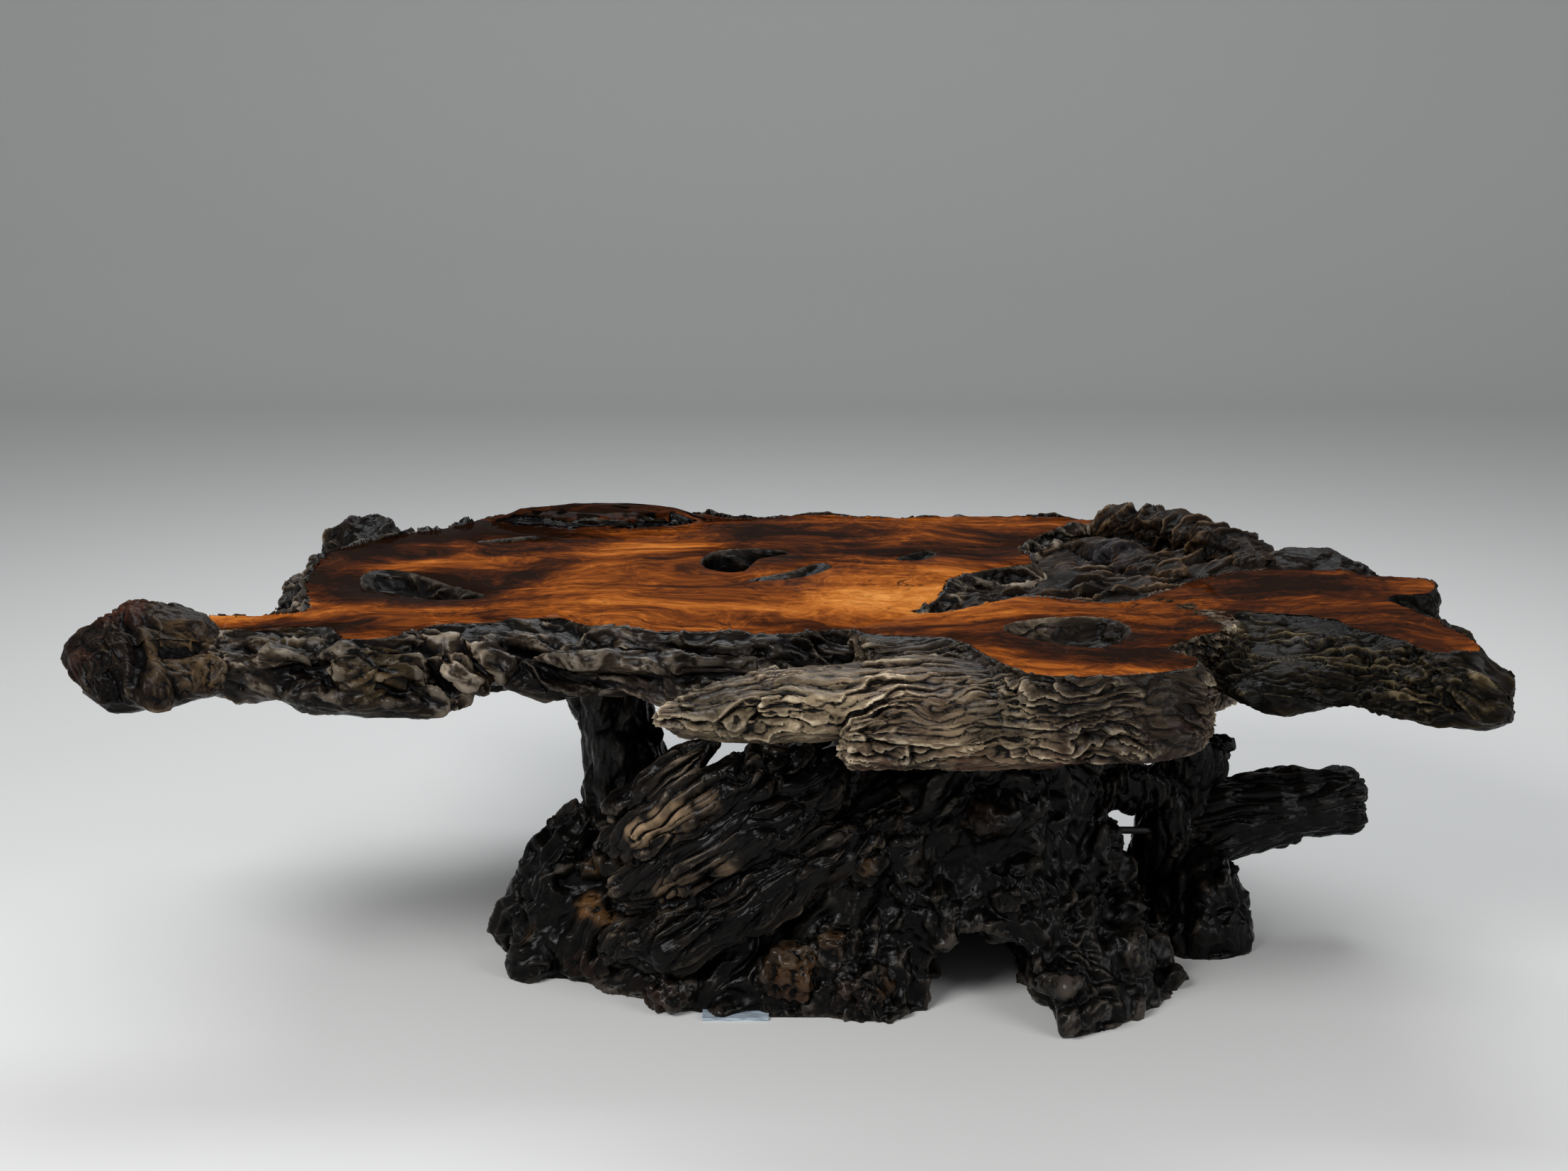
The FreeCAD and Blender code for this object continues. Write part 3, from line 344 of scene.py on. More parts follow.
def spotted(marks: Sequence[Spot], points: np.ndarray, noise: Lattice) -> np.ndarray:
    """The strongest spot at each point, with ragged rims.

    Args:
        marks: the spots.
        points: (n, 3) places.
        noise: what makes the rims ragged.

    Returns:
        (n,) shares from 0 to 1.
    """
    total = np.zeros(len(points))
    for spot in marks:
        away = np.linalg.norm(points - np.array(spot.place), axis=1) / spot.radius
        near = away < 1.7
        ragged = away[near] + 0.45 * noise.layered(points[near] / 0.018, 2)
        total[near] = np.maximum(total[near], spot.share * (1 - smooth_step(0.35, 1.15, ragged)))
    return total


@dataclass(frozen=True)
class Stroke:
    """A ridge (height above 0) or groove (below 0) along a path."""

    path: tuple[Point, ...]
    radius: float
    height: float

    def field(self, points: np.ndarray) -> np.ndarray:
        """Height that the stroke adds.

        Args:
            points: (n, 3) places.

        Returns:
            (n,) heights.
        """
        low = np.min(self.path, axis=0) - self.radius
        high = np.max(self.path, axis=0) + self.radius
        inside = np.all((points > low) & (points < high), axis=1)
        part = points[inside]
        best = np.full(len(part), np.inf)
        for start, end in zip(self.path, self.path[1:]):
            a, b = np.array(start), np.array(end)
            span = b - a
            t = np.clip((part - a) @ span / max(span @ span, 1e-12), 0, 1)
            best = np.minimum(best, np.linalg.norm(part - a - t[:, None] * span, axis=1))
        added = np.zeros(len(points))
        added[inside] = self.height * np.clip(1 - (best / self.radius) ** 2, 0, 1) ** 2
        return added


@dataclass(frozen=True)
class Knot:
    """A knot: a boss with rings, round which the grain parts."""

    place: Point
    radius: float
    height: float
    rings: int = 3

    def field(self, points: np.ndarray) -> np.ndarray:
        """Height that the knot adds.

        Args:
            points: (n, 3) places.

        Returns:
            (n,) heights.
        """
        away = np.linalg.norm(points - np.array(self.place), axis=1) / self.radius
        cover = np.clip(1 - away ** 2, 0, 1)
        ring = 0.10 * np.cos(away * math.tau * self.rings) * np.clip(away * 2, 0, 1)
        offset = (points - np.array(self.place)) / self.radius
        petals = Lattice(self.rings).layered(offset / 0.34, 3, 0.7)
        return self.height * cover * (0.75 + ring + 0.9 * petals)

    def part(self, points: np.ndarray) -> np.ndarray:
        """Shift of the grain's coordinates round the knot.

        Args:
            points: (n, 3) places.

        Returns:
            (n, 3) shifts.
        """
        offset = points - np.array(self.place)
        away = np.sum(offset ** 2, axis=1) / self.radius ** 2
        return -0.40 * offset * np.exp(-away)[:, None]


@dataclass(frozen=True)
class Wood:
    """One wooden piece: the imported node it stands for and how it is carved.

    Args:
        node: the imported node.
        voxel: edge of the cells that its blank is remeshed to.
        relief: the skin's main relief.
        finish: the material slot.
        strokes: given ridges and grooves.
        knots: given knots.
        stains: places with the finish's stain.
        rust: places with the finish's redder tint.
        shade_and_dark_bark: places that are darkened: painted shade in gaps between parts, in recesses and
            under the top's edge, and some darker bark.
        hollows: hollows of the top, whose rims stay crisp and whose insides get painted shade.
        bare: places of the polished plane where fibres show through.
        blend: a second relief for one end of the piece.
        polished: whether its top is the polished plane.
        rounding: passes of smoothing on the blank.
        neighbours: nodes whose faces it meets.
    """

    node: str
    voxel: float
    relief: Relief
    finish: Slot
    strokes: tuple[Stroke, ...] = ()
    knots: tuple[Knot, ...] = ()
    stains: tuple[Spot, ...] = ()
    rust: tuple[Spot, ...] = ()
    shade_and_dark_bark: tuple[Spot, ...] = ()
    hollows: tuple[Spot, ...] = ()
    bare: tuple[Spot, ...] = ()
    blend: Optional[Blend] = None
    polished: bool = False
    rounding: int = 3
    neighbours: tuple[str, ...] = ()

    def skin(self, points: np.ndarray) -> tuple[np.ndarray, np.ndarray]:
        """The piece's relief, with its strokes and knots.

        Args:
            points: (n, 3) places on the blank.

        Returns:
            The height and the grain's coordinates at each point.
        """
        height, grain = self.relief.height(points, self.knots)
        if self.blend:
            other, other_grain = self.blend.relief.height(points, self.knots)
            share = self.blend.share(points, Lattice(self.relief.seed + 1))
            height = height * (1 - share) + other * share
            grain = np.where(share[:, None] > 0.5, other_grain, grain)
        for mark in (*self.strokes, *self.knots):
            height = height + mark.field(points)
        return height, grain


def metres(*lengths: float) -> tuple[float, ...]:
    """Lengths that are given in millimetres."""
    return tuple(length / 1000 for length in lengths)


def spots(*rows: tuple[float, ...]) -> tuple[Spot, ...]:
    """Spots from rows of x, y, z and radius in millimetres, each with its share."""
    return tuple(Spot(metres(*row[:3]), row[3] / 1000, row[4]) for row in rows)


def stroke(radius: float, height: float, *path: tuple[float, ...]) -> Stroke:
    """A stroke from its radius, its height and its path in millimetres."""
    return Stroke(tuple(metres(*place) for place in path), radius / 1000, height / 1000)


def knot(x: float, y: float, z: float, radius: float, height: float, rings: int = 3) -> Knot:
    """A knot from its place, its radius and its height in millimetres."""
    return Knot(metres(x, y, z), radius / 1000, height / 1000, rings)


def grain_axes(grain: Point) -> np.ndarray:
    """The axes of a piece's relief.

    Args:
        grain: direction of the grain.

    Returns:
        Rows: along the grain, across it and over it.
    """
    along = np.array(grain, float)
    along /= np.linalg.norm(along)
    helper = np.array((0.0, 0.0, 1.0)) if abs(along[2]) < 0.8 else np.array((0.0, 1.0, 0.0))
    across = np.cross(helper, along)
    across /= np.linalg.norm(across)
    return np.stack([along, across, np.cross(along, across)])


def placed(name: str, data: Any) -> bpy.types.Object:
    """Put a new object in the scene, at the origin.

    Args:
        name: its name.
        data: its mesh, light or camera.

    Returns:
        The object.
    """
    thing = bpy.data.objects.new(name, data)
    bpy.context.scene.collection.objects.link(thing)
    return thing


def remeshed(node: str, voxel: float, rounding: int) -> bpy.types.Mesh:
    """The node's solid as an even, slightly rounded mesh.

    Args:
        node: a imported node's name.
        voxel: edge of the new mesh's cells.
        rounding: passes of smoothing.

    Returns:
        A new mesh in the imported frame.
    """
    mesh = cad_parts[node].data.copy()
    mesh.materials.clear()
    shape = bmesh.new()
    shape.from_mesh(mesh)
    bmesh.ops.remove_doubles(shape, verts=shape.verts, dist=WELD)
    shape.to_mesh(mesh)
    shape.free()
    holder = placed(f"{node}_blank", mesh)
    remesh = holder.modifiers.new("remesh", "REMESH")
    remesh.mode = "VOXEL"
    remesh.voxel_size = voxel
    remesh.use_smooth_shade = True
    smooth = holder.modifiers.new("smooth", "SMOOTH")
    smooth.factor = 0.5
    smooth.iterations = rounding
    return baked(holder)


def baked(holder: bpy.types.Object) -> bpy.types.Mesh:
    """Apply an object's modifiers.

    Args:
        holder: the object, which is removed.

    Returns:
        A new mesh with the modifiers in it.
    """
    bpy.context.view_layer.update()
    graph = bpy.context.evaluated_depsgraph_get()
    mesh = bpy.data.meshes.new_from_object(holder.evaluated_get(graph))
    old = holder.data
    bpy.data.objects.remove(holder)
    if old.users == 0:
        bpy.data.meshes.remove(old)
    return mesh


def without_specks(mesh: bpy.types.Mesh) -> None:
    """Take out the small loose shells that remeshing can leave beside or inside the wood.

    Args:
        mesh: a baked mesh, changed in place.
    """
    edges = np.empty(len(mesh.edges) * 2, np.int64)
    mesh.edges.foreach_get("vertices", edges)
    start, end = edges[::2], edges[1::2]
    shell, joined = None, np.arange(len(mesh.vertices))
    while shell is None or not np.array_equal(shell, joined):
        shell = joined
        low = np.minimum(shell[start], shell[end])
        joined = shell.copy()
        np.minimum.at(joined, shell[start], low)
        np.minimum.at(joined, shell[end], low)
        joined = joined[joined]
    small = np.flatnonzero(np.bincount(shell)[shell] < SPECK_VERTICES)
    if len(small):
        shape = bmesh.new()
        shape.from_mesh(mesh)
        shape.verts.ensure_lookup_table()
        bmesh.ops.delete(shape, geom=[shape.verts[index] for index in small], context="VERTS")
        shape.to_mesh(mesh)
        shape.free()


def mesh_arrays(mesh: bpy.types.Mesh) -> tuple[np.ndarray, np.ndarray]:
    """Places and normals of a mesh's vertices.

    Args:
        mesh: the mesh.

    Returns:
        Two (n, 3) arrays.
    """
    count = len(mesh.vertices)
    places = np.empty(count * 3, np.float32)
    mesh.vertices.foreach_get("co", places)
    normals = np.empty(count * 3, np.float32)
    mesh.vertex_normals.foreach_get("vector", normals)
    return places.reshape(-1, 3).astype(float), normals.reshape(-1, 3).astype(float)


def contact(places: np.ndarray, normals: np.ndarray, nodes: Iterable[str]) -> np.ndarray:
    """Find where a piece meets its neighbours.

    Args:
        places: (n, 3) places of its vertices.
        normals: (n, 3) normals there.
        nodes: the neighbours' nodes.

    Returns:
        (n,) values: 1 where a vertex lies on a neighbour's face, 0 elsewhere.
    """
    touching = np.zeros(len(places))
    for name in nodes:
        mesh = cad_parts[name].data
        corners = [v.co for v in mesh.vertices]
        tree = BVHTree.FromPolygons(corners, [tuple(p.vertices) for p in mesh.polygons])
        low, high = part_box(name)
        near = (places > np.array(low) - CONTACT_REACH) & (places < np.array(high) + CONTACT_REACH)
        for index in np.flatnonzero(near.all(axis=1)):
            found, way, _, _ = tree.find_nearest(Vector(places[index]), CONTACT_REACH)
            if found is not None and way.dot(Vector(normals[index])) < CONTACT_FACING:
                touching[index] = 1.0
    return touching


def spread(values: np.ndarray, mesh: bpy.types.Mesh, passes: int) -> np.ndarray:
    """Average values over a mesh's edges.

    Args:
        values: (n,) values at its vertices.
        mesh: the mesh.
        passes: how many times.

    Returns:
        (n,) smoother values.
    """
    edges = np.empty(len(mesh.edges) * 2, np.int32)
    mesh.edges.foreach_get("vertices", edges)
    start, end = edges[::2], edges[1::2]
    count = len(values)
    degree = np.bincount(start, minlength=count) + np.bincount(end, minlength=count)
    degree = np.maximum(degree, 1)
    for _ in range(passes):
        total = np.bincount(start, values[end], count) + np.bincount(end, values[start], count)
        values = 0.5 * values + 0.5 * total / degree
    return values


def write_value(mesh: bpy.types.Mesh, name: str, values: np.ndarray) -> None:
    """Store a number per vertex."""
    layer = mesh.attributes.new(name, "FLOAT", "POINT")
    layer.data.foreach_set("value", values.astype(np.float32))


def write_vector(mesh: bpy.types.Mesh, name: str, values: np.ndarray) -> None:
    """Store a vector per vertex."""
    layer = mesh.attributes.new(name, "FLOAT_VECTOR", "POINT")
    layer.data.foreach_set("vector", values.astype(np.float32).ravel())


def local_relief(mesh: bpy.types.Mesh, passes: int, span: float) -> np.ndarray:
    """How far each vertex stands out of its surroundings.

    Args:
        mesh: the mesh.
        passes: passes of averaging, which set how wide the surroundings are.
        span: height over which the mask goes from middle to crest.

    Returns:
        (n,) values from 0 in a groove to 1 on a crest.
    """
    places, normals = mesh_arrays(mesh)
    smooth = np.stack([spread(places[:, axis], mesh, passes) for axis in range(3)], axis=1)
    rise = np.einsum("ij,ij->i", places - smooth, normals)
    return np.clip(0.5 + rise / (2 * span), 0, 1)


class Graph:
    """A short way to write a node tree."""

    def __init__(self, tree: bpy.types.NodeTree) -> None:
        """Write into a tree."""
        self.tree = tree

    def add(self, kind: str, feeds: Optional[Mapping[Any, Any]] = None, **settings: Any) -> Any:
        """Add a node.

        Args:
            kind: the node's type.
            feeds: its inputs' keys, each with a value or a socket.
            settings: its properties.

        Returns:
            The node.
        """
        node = self.tree.nodes.new(kind)
        for name, value in settings.items():
            setattr(node, name, value)
        for key, value in (feeds or {}).items():
            self.feed(node.inputs[key], value)
        return node

    def feed(self, socket: Any, value: Any) -> None:
        """Link a socket, or set its value.

        Args:
            socket: the input.
            value: another node's output, or a value.
        """
        if isinstance(value, bpy.types.NodeSocket):
            self.tree.links.new(value, socket)
        else:
            socket.default_value = value

    def maths(self, operation: str, *values: Any) -> Any:
        """A shader or geometry Math node's result."""
        return self.add("ShaderNodeMath", dict(enumerate(values)), operation=operation).outputs[0]

    def plus(self, first: Any, second: Any) -> Any:
        """The sum of two numbers."""
        return self.maths("ADD", first, second)

    def minus(self, first: Any, second: Any) -> Any:
        """The first number less the second."""
        return self.maths("SUBTRACT", first, second)

    def times(self, first: Any, second: Any) -> Any:
        """The product of two numbers."""
        return self.maths("MULTIPLY", first, second)

    def vectors(self, operation: str, *values: Any) -> Any:
        """A Vector Math node.

        Args:
            operation: what it works out.
            values: its inputs.

        Returns:
            Its vector result.
        """
        node = self.add("ShaderNodeVectorMath", operation=operation)
        for index, value in enumerate(values):
            key = "Scale" if operation == "SCALE" and index == 1 else index
            self.feed(node.inputs[key], value)
        return node.outputs[0]

    def mapped(self, value: Any, low: float, high: float, to_low: float = 0.0,
               to_high: float = 1.0, curve: str = "SMOOTHSTEP") -> Any:
        """A Map Range node.

        Args:
            value: what is mapped.
            low: where the range starts.
            high: where it ends.
            to_low: result at low.
            to_high: result at high.
            curve: how it goes from one to the other.

        Returns:
            Its result.
        """
        return self.add("ShaderNodeMapRange", {
            "Value": value, "From Min": low, "From Max": high,
            "To Min": to_low, "To Max": to_high}, interpolation_type=curve).outputs[0]

    def noise(self, vector: Any, scale: float, detail: float = 3.0, rough: float = 0.55,
              warp: float = 0.0) -> Any:
        """A Noise Texture.

        Args:
            vector: where it is read.
            scale: cells in a unit.
            detail: octaves.
            rough: strength of each octave over the one before.
            warp: distortion.

        Returns:
            Its value.
        """
        return self.add("ShaderNodeTexNoise", {
            "Vector": vector, "Scale": scale, "Detail": detail, "Roughness": rough,
            "Distortion": warp}).outputs[0]

    def ramp(self, value: Any, stops: Sequence[tuple[float, Colour]]) -> Any:
        """A Color Ramp.

        Args:
            value: what picks the colour.
            stops: places and colours.

        Returns:
            Its colour.
        """
        node = self.add("ShaderNodeValToRGB", {"Fac": value})
        marks = node.color_ramp.elements
        while len(marks) < len(stops):
            marks.new(0.5)
        for mark, (place, colour) in zip(marks, stops):
            mark.position = place
            mark.color = (*colour, 1.0)
        return node.outputs["Color"]

    def mix(self, share: Any, first: Any, second: Any, blend: str = "MIX") -> Any:
        """A colour mix.

        Args:
            share: how much of the second colour is taken.
            first: a colour or socket.
            second: a colour or socket.
            blend: how the second is laid over the first.

        Returns:
            The mixed colour.
        """
        node = self.add("ShaderNodeMix", data_type="RGBA", blend_type=blend)
        for key, value in (("Factor_Float", share), ("A_Color", first), ("B_Color", second)):
            socket = next(s for s in node.inputs if s.identifier == key)
            self.feed(socket, (*value, 1.0) if isinstance(value, tuple) and len(value) == 3 else value)
        return next(s for s in node.outputs if s.identifier == "Result_Color")


def new_group(name: str, kind: str, takes: Mapping[str, str],
              gives: Mapping[str, str]) -> tuple[Graph, Any, Any]:
    """A node group with its sockets.

    Args:
        name: the group's name.
        kind: the tree type.
        takes: input names and socket types.
        gives: output names and socket types.

    Returns:
        The graph, and the group's input and output nodes.
    """
    tree = bpy.data.node_groups.new(name, kind)
    for direction, sockets in (("INPUT", takes), ("OUTPUT", gives)):
        for label, socket in sockets.items():
            tree.interface.new_socket(label, in_out=direction, socket_type=socket)
    graph = Graph(tree)
    return graph, graph.add("NodeGroupInput"), graph.add("NodeGroupOutput")


def empty_material(name: str) -> tuple[bpy.types.Material, Graph]:
    """A material without nodes.

    Args:
        name: its name.

    Returns:
        The material and its graph.
    """
    material = bpy.data.materials.new(name)
    material.use_nodes = True
    material.node_tree.nodes.clear()
    return material, Graph(material.node_tree)


def fine_relief_tree() -> bpy.types.NodeTree:
    """Geometry nodes that cut fibres and pits into a piece along its stored grain.

    Returns:
        The tree.
    """
    graph, takes, gives = new_group("FineRelief", "GeometryNodeTree", {
        "Geometry": "NodeSocketGeometry", "Fibre Depth": "NodeSocketFloat",
        "Pit Depth": "NodeSocketFloat", "Material": "NodeSocketMaterial"},
        {"Geometry": "NodeSocketGeometry"})
    grain = graph.add("GeometryNodeInputNamedAttribute", {"Name": "grain"}, data_type="FLOAT_VECTOR")
    loose = graph.add("GeometryNodeInputNamedAttribute", {"Name": "loose"}, data_type="FLOAT")
    place = graph.add("GeometryNodeInputPosition").outputs[0]
    stretched = graph.vectors("MULTIPLY", grain.outputs[0], (2.2, 5.0, 5.0))
    fibre = graph.noise(stretched, 1.0, 2.0, 0.5)
    fibre = graph.minus(graph.maths("ABSOLUTE", graph.minus(fibre, 0.5)), 0.1)
    pits = graph.noise(place, 130.0, 2.0, 0.5)
    pits = graph.times(graph.mapped(pits, 0.30, 0.42, 1.0, 0.0), -1.0)
    deep = graph.times(takes.outputs["Fibre Depth"], 8.0)
    height = graph.plus(graph.times(fibre, deep), graph.times(pits, takes.outputs["Pit Depth"]))
    height = graph.times(height, loose.outputs[0])
    normal = graph.add("GeometryNodeInputNormal").outputs[0]
    moved = graph.add("GeometryNodeSetPosition", {
        "Geometry": takes.outputs["Geometry"], "Offset": graph.vectors("SCALE", normal, height)})
    real = graph.add("GeometryNodeRealizeInstances", {"Geometry": moved.outputs["Geometry"]})
    dressed = graph.add("GeometryNodeSetMaterial", {
        "Geometry": real.outputs["Geometry"], "Material": takes.outputs["Material"]})
    graph.feed(gives.inputs["Geometry"], dressed.outputs["Geometry"])
    return graph.tree


@dataclass(frozen=True)
class BarkFinish:
    """Tints and gloss of an unpolished skin.

    Args:
        groove: tint of the painted shade in grooves and creases and wherever shade is painted, as a screen
            colour of 0 to 255, as all tints are.
        body: tint of most of the skin.
        patch: tint of the paler soft patches.
        crest: tint of crests, partly wear and partly painted highlight.
        stain: tint of the listed stains.
        rust: tint of the listed redder places.
        patchy: share of the skin that the patches take.
        rough: roughness of the body.
        specular: strength of the reflection.
        fibre_scale: fibres in one strand.
        bump: strength of the fine bump.
    """

    groove: Tint
    body: Tint
    patch: Tint
    crest: Tint
    stain: Tint
    rust: Tint
    patchy: float = 0.5
    rough: float = 0.36
    specular: float = 0.10
    fibre_scale: float = 4.0
    bump: float = 0.3


def linear(colour: Tint) -> Colour:
    """Turn a screen colour into linear light.

    Args:
        colour: red, green and blue from 0 to 255.

    Returns:
        The same from 0 to 1.
    """
    def one(part: int) -> float:
        """One part of it."""
        share = part / 255
        return share / 12.92 if share <= 0.04045 else ((share + 0.055) / 1.055) ** 2.4
    return tuple(one(part) for part in colour)


BARKS = {
    Slot.POLISHED_BURL: BarkFinish(
        (4, 3, 3), (26, 20, 16), (58, 46, 33), (130, 118, 103),
        (80, 62, 33), (72, 35, 19), patchy=0.48, rough=0.26),
    Slot.DRIFTWOOD: BarkFinish(
        (8, 5, 3), (52, 42, 33), (108, 91, 72), (184, 168, 142),
        (138, 122, 96), (60, 28, 16), patchy=0.58, rough=0.30),
    # The grey stain tint of this finish paints the blue-grey glints near the wing's rim: painted reflection.
    Slot.BURL_AND_BARK: BarkFinish(
        (3, 3, 2), (19, 15, 9), (50, 40, 24), (96, 84, 62),
        (78, 76, 76), (52, 29, 16), patchy=0.48, rough=0.36, specular=0.05),
    # The cool grey stain tint of this finish paints the bluish sheen on the ridge: painted reflection.
    Slot.ROUGH_BARK: BarkFinish(
        (4, 3, 2), (22, 15, 10), (54, 38, 24), (92, 74, 54),
        (42, 45, 52), (58, 31, 18), patchy=0.44, rough=0.34, specular=0.05),
    Slot.LIVE_EDGE_KNOB: BarkFinish(
        (4, 3, 3), (20, 15, 12), (48, 37, 27), (98, 84, 69),
        (84, 66, 44), (60, 30, 19), patchy=0.44, rough=0.28, specular=0.07),
    Slot.DARK_ROOT: BarkFinish(
        (2, 2, 2), (11, 10, 9), (24, 20, 17), (60, 54, 48),
        (84, 58, 32), (42, 25, 17), patchy=0.42, rough=0.24),
    Slot.PALE_SPLINTER: BarkFinish(
        (3, 3, 3), (17, 15, 14), (44, 36, 29), (104, 92, 78),
        (142, 118, 92), (54, 34, 24), patchy=0.42, rough=0.26),
}


def bark_group() -> bpy.types.NodeTree:
    """Shader group for unpolished skin: relief, patches and fibres decide its tint.

    Returns:
        The group.
    """
    graph, takes, gives = new_group("BarkSkin", "ShaderNodeTree", {
        "Groove": "NodeSocketColor", "Body": "NodeSocketColor", "Patch": "NodeSocketColor",
        "Crest": "NodeSocketColor", "Stain": "NodeSocketColor", "Rust": "NodeSocketColor",
        "Patchy": "NodeSocketFloat", "Rough": "NodeSocketFloat", "Fibre Scale": "NodeSocketFloat"},
        {"Color": "NodeSocketColor", "Roughness": "NodeSocketFloat", "Height": "NodeSocketFloat"})
    masks = {name: graph.add("ShaderNodeAttribute", attribute_name=name).outputs["Fac"]
             for name in ("relief", "form", "stain", "rust", "shade_and_dark_bark")}
    grain = graph.add("ShaderNodeAttribute", attribute_name="grain").outputs["Vector"]
    place = graph.add("ShaderNodeTexCoord").outputs["Object"]
    along = graph.vectors("MULTIPLY", grain, (0.5, 1.0, 1.0))
    fibre = graph.noise(graph.vectors("SCALE", along, takes.outputs["Fibre Scale"]), 1.0, 5.0, 0.62, 0.25)
    streak = graph.noise(graph.vectors("MULTIPLY", grain, (0.55, 0.9, 0.9)), 1.0, 4.0, 0.6, 0.6)
    patch = graph.noise(place, 10.0, 5.0, 0.60, 1.2)
    zone = graph.mapped(graph.noise(place, 7.0, 3.0, 0.6, 0.8), 0.36, 0.62, 0.45, 1.15)
    speck = graph.noise(place, 110.0, 4.0, 0.7)

    def centred(value: Any, weight: float) -> Any:
        """A mask that swings about nothing."""
        return graph.times(graph.minus(value, 0.5), weight)

    # This mask says how far the skin stands out: it sets the pale patches and, through low, the painted shade
    # in grooves and creases.
    wear_and_shade = graph.plus(masks["relief"], centred(fibre, 0.40))
    wear_and_shade = graph.plus(wear_and_shade, centred(speck, 0.12))
    wear_and_shade = graph.plus(wear_and_shade, centred(masks["form"], 0.6))
    low = graph.mapped(wear_and_shade, 0.20, 0.62)
    edge = graph.plus(masks["relief"], centred(fibre, 0.6))
    high = graph.mapped(graph.plus(edge, centred(masks["form"], 0.2)), 0.66, 1.08)
    soft = graph.plus(centred(patch, 1.3), centred(streak, 1.7))
    soft = graph.plus(soft, centred(masks["form"], 0.3))
    soft = graph.plus(soft, takes.outputs["Patchy"])
    pale = graph.times(graph.mapped(soft, 0.25, 1.05), graph.mapped(wear_and_shade, 0.25, 0.75))
    colour = graph.mix(pale, takes.outputs["Body"], takes.outputs["Patch"])
    # Painted highlight, partly wear: the crests take the crest tint.
    colour = graph.mix(graph.times(high, graph.mapped(soft, 0.1, 0.8)), colour, takes.outputs["Crest"])
    run = graph.mapped(streak, 0.36, 0.58, 0.40, 1.0)
    for label, mask in (("Stain", "stain"), ("Rust", "rust")):
        share = graph.times(masks[mask], graph.mapped(wear_and_shade, 0.22, 0.60, 0.15, 1.0))
        share = graph.times(share, run)
        colour = graph.mix(share, colour, takes.outputs[label])
    # Painted shade: the soot mask (its spots, the rim shade and the hollow shade) pulls the colour toward the
    # groove tint.
    colour = graph.mix(graph.times(masks["shade_and_dark_bark"], 0.85), colour, takes.outputs["Groove"])
    # Painted shade: low places of the relief take the groove tint.
    colour = graph.mix(low, takes.outputs["Groove"], colour)
    zone = graph.add("ShaderNodeCombineColor", {0: zone, 1: zone, 2: zone}).outputs[0]
    graph.feed(gives.inputs["Color"], graph.mix(1.0, colour, zone, "MULTIPLY"))
    shine = graph.plus(takes.outputs["Rough"], centred(streak, 0.35))
    shine = graph.minus(shine, centred(masks["relief"], 0.25))
    graph.feed(gives.inputs["Roughness"], graph.maths("MAXIMUM", shine, 0.16))
    height = graph.plus(graph.times(fibre, 0.8), graph.times(speck, 0.2))
    graph.feed(gives.inputs["Height"], height)
    return graph.tree


@dataclass(frozen=True)
class Figure:
    """A darker (share above 0) or lighter place in the polished figure."""

    x: float
    y: float
    wide: float
    deep: float
    turn: float
    share: float


FIGURES = (
    Figure(-0.50, 0.27, 0.30, 0.14, 0.1, 0.80),
    Figure(-0.30, 0.38, 0.30, 0.09, 0.0, 0.55),
    Figure(-0.30, 0.10, 0.18, 0.06, 0.2, 0.25),
    Figure(-0.02, 0.30, 0.22, 0.07, 0.1, 0.40),
    Figure(0.12, 0.20, 0.22, 0.06, 0.0, 0.45),
    Figure(0.36, 0.30, 0.14, 0.12, 0.4, 0.50),
    Figure(-0.62, -0.23, 0.18, 0.08, 0.0, 0.75),
    Figure(0.56, -0.02, 0.22, 0.10, 0.2, 0.35),
    Figure(-0.44, -0.03, 0.20, 0.12, 0.1, 0.60),
    Figure(-0.61, 0.12, 0.12, 0.20, 0.0, 0.60),
    Figure(-0.10, 0.15, 0.16, 0.08, 0.1, 0.35),
    Figure(0.34, -0.30, 0.26, 0.14, 0.0, 0.45),
    Figure(0.60, -0.14, 0.26, 0.20, -0.2, 0.28),
    Figure(0.10, -0.06, 0.20, 0.12, 0.0, -0.40),
    Figure(-0.12, -0.14, 0.20, 0.08, 0.0, -0.30),
    Figure(-0.20, 0.18, 0.10, 0.20, -0.5, -0.35),
    Figure(0.20, 0.06, 0.18, 0.07, 0.0, -0.25),
    Figure(-0.50, 0.10, 0.14, 0.07, 0.0, -0.20),
)


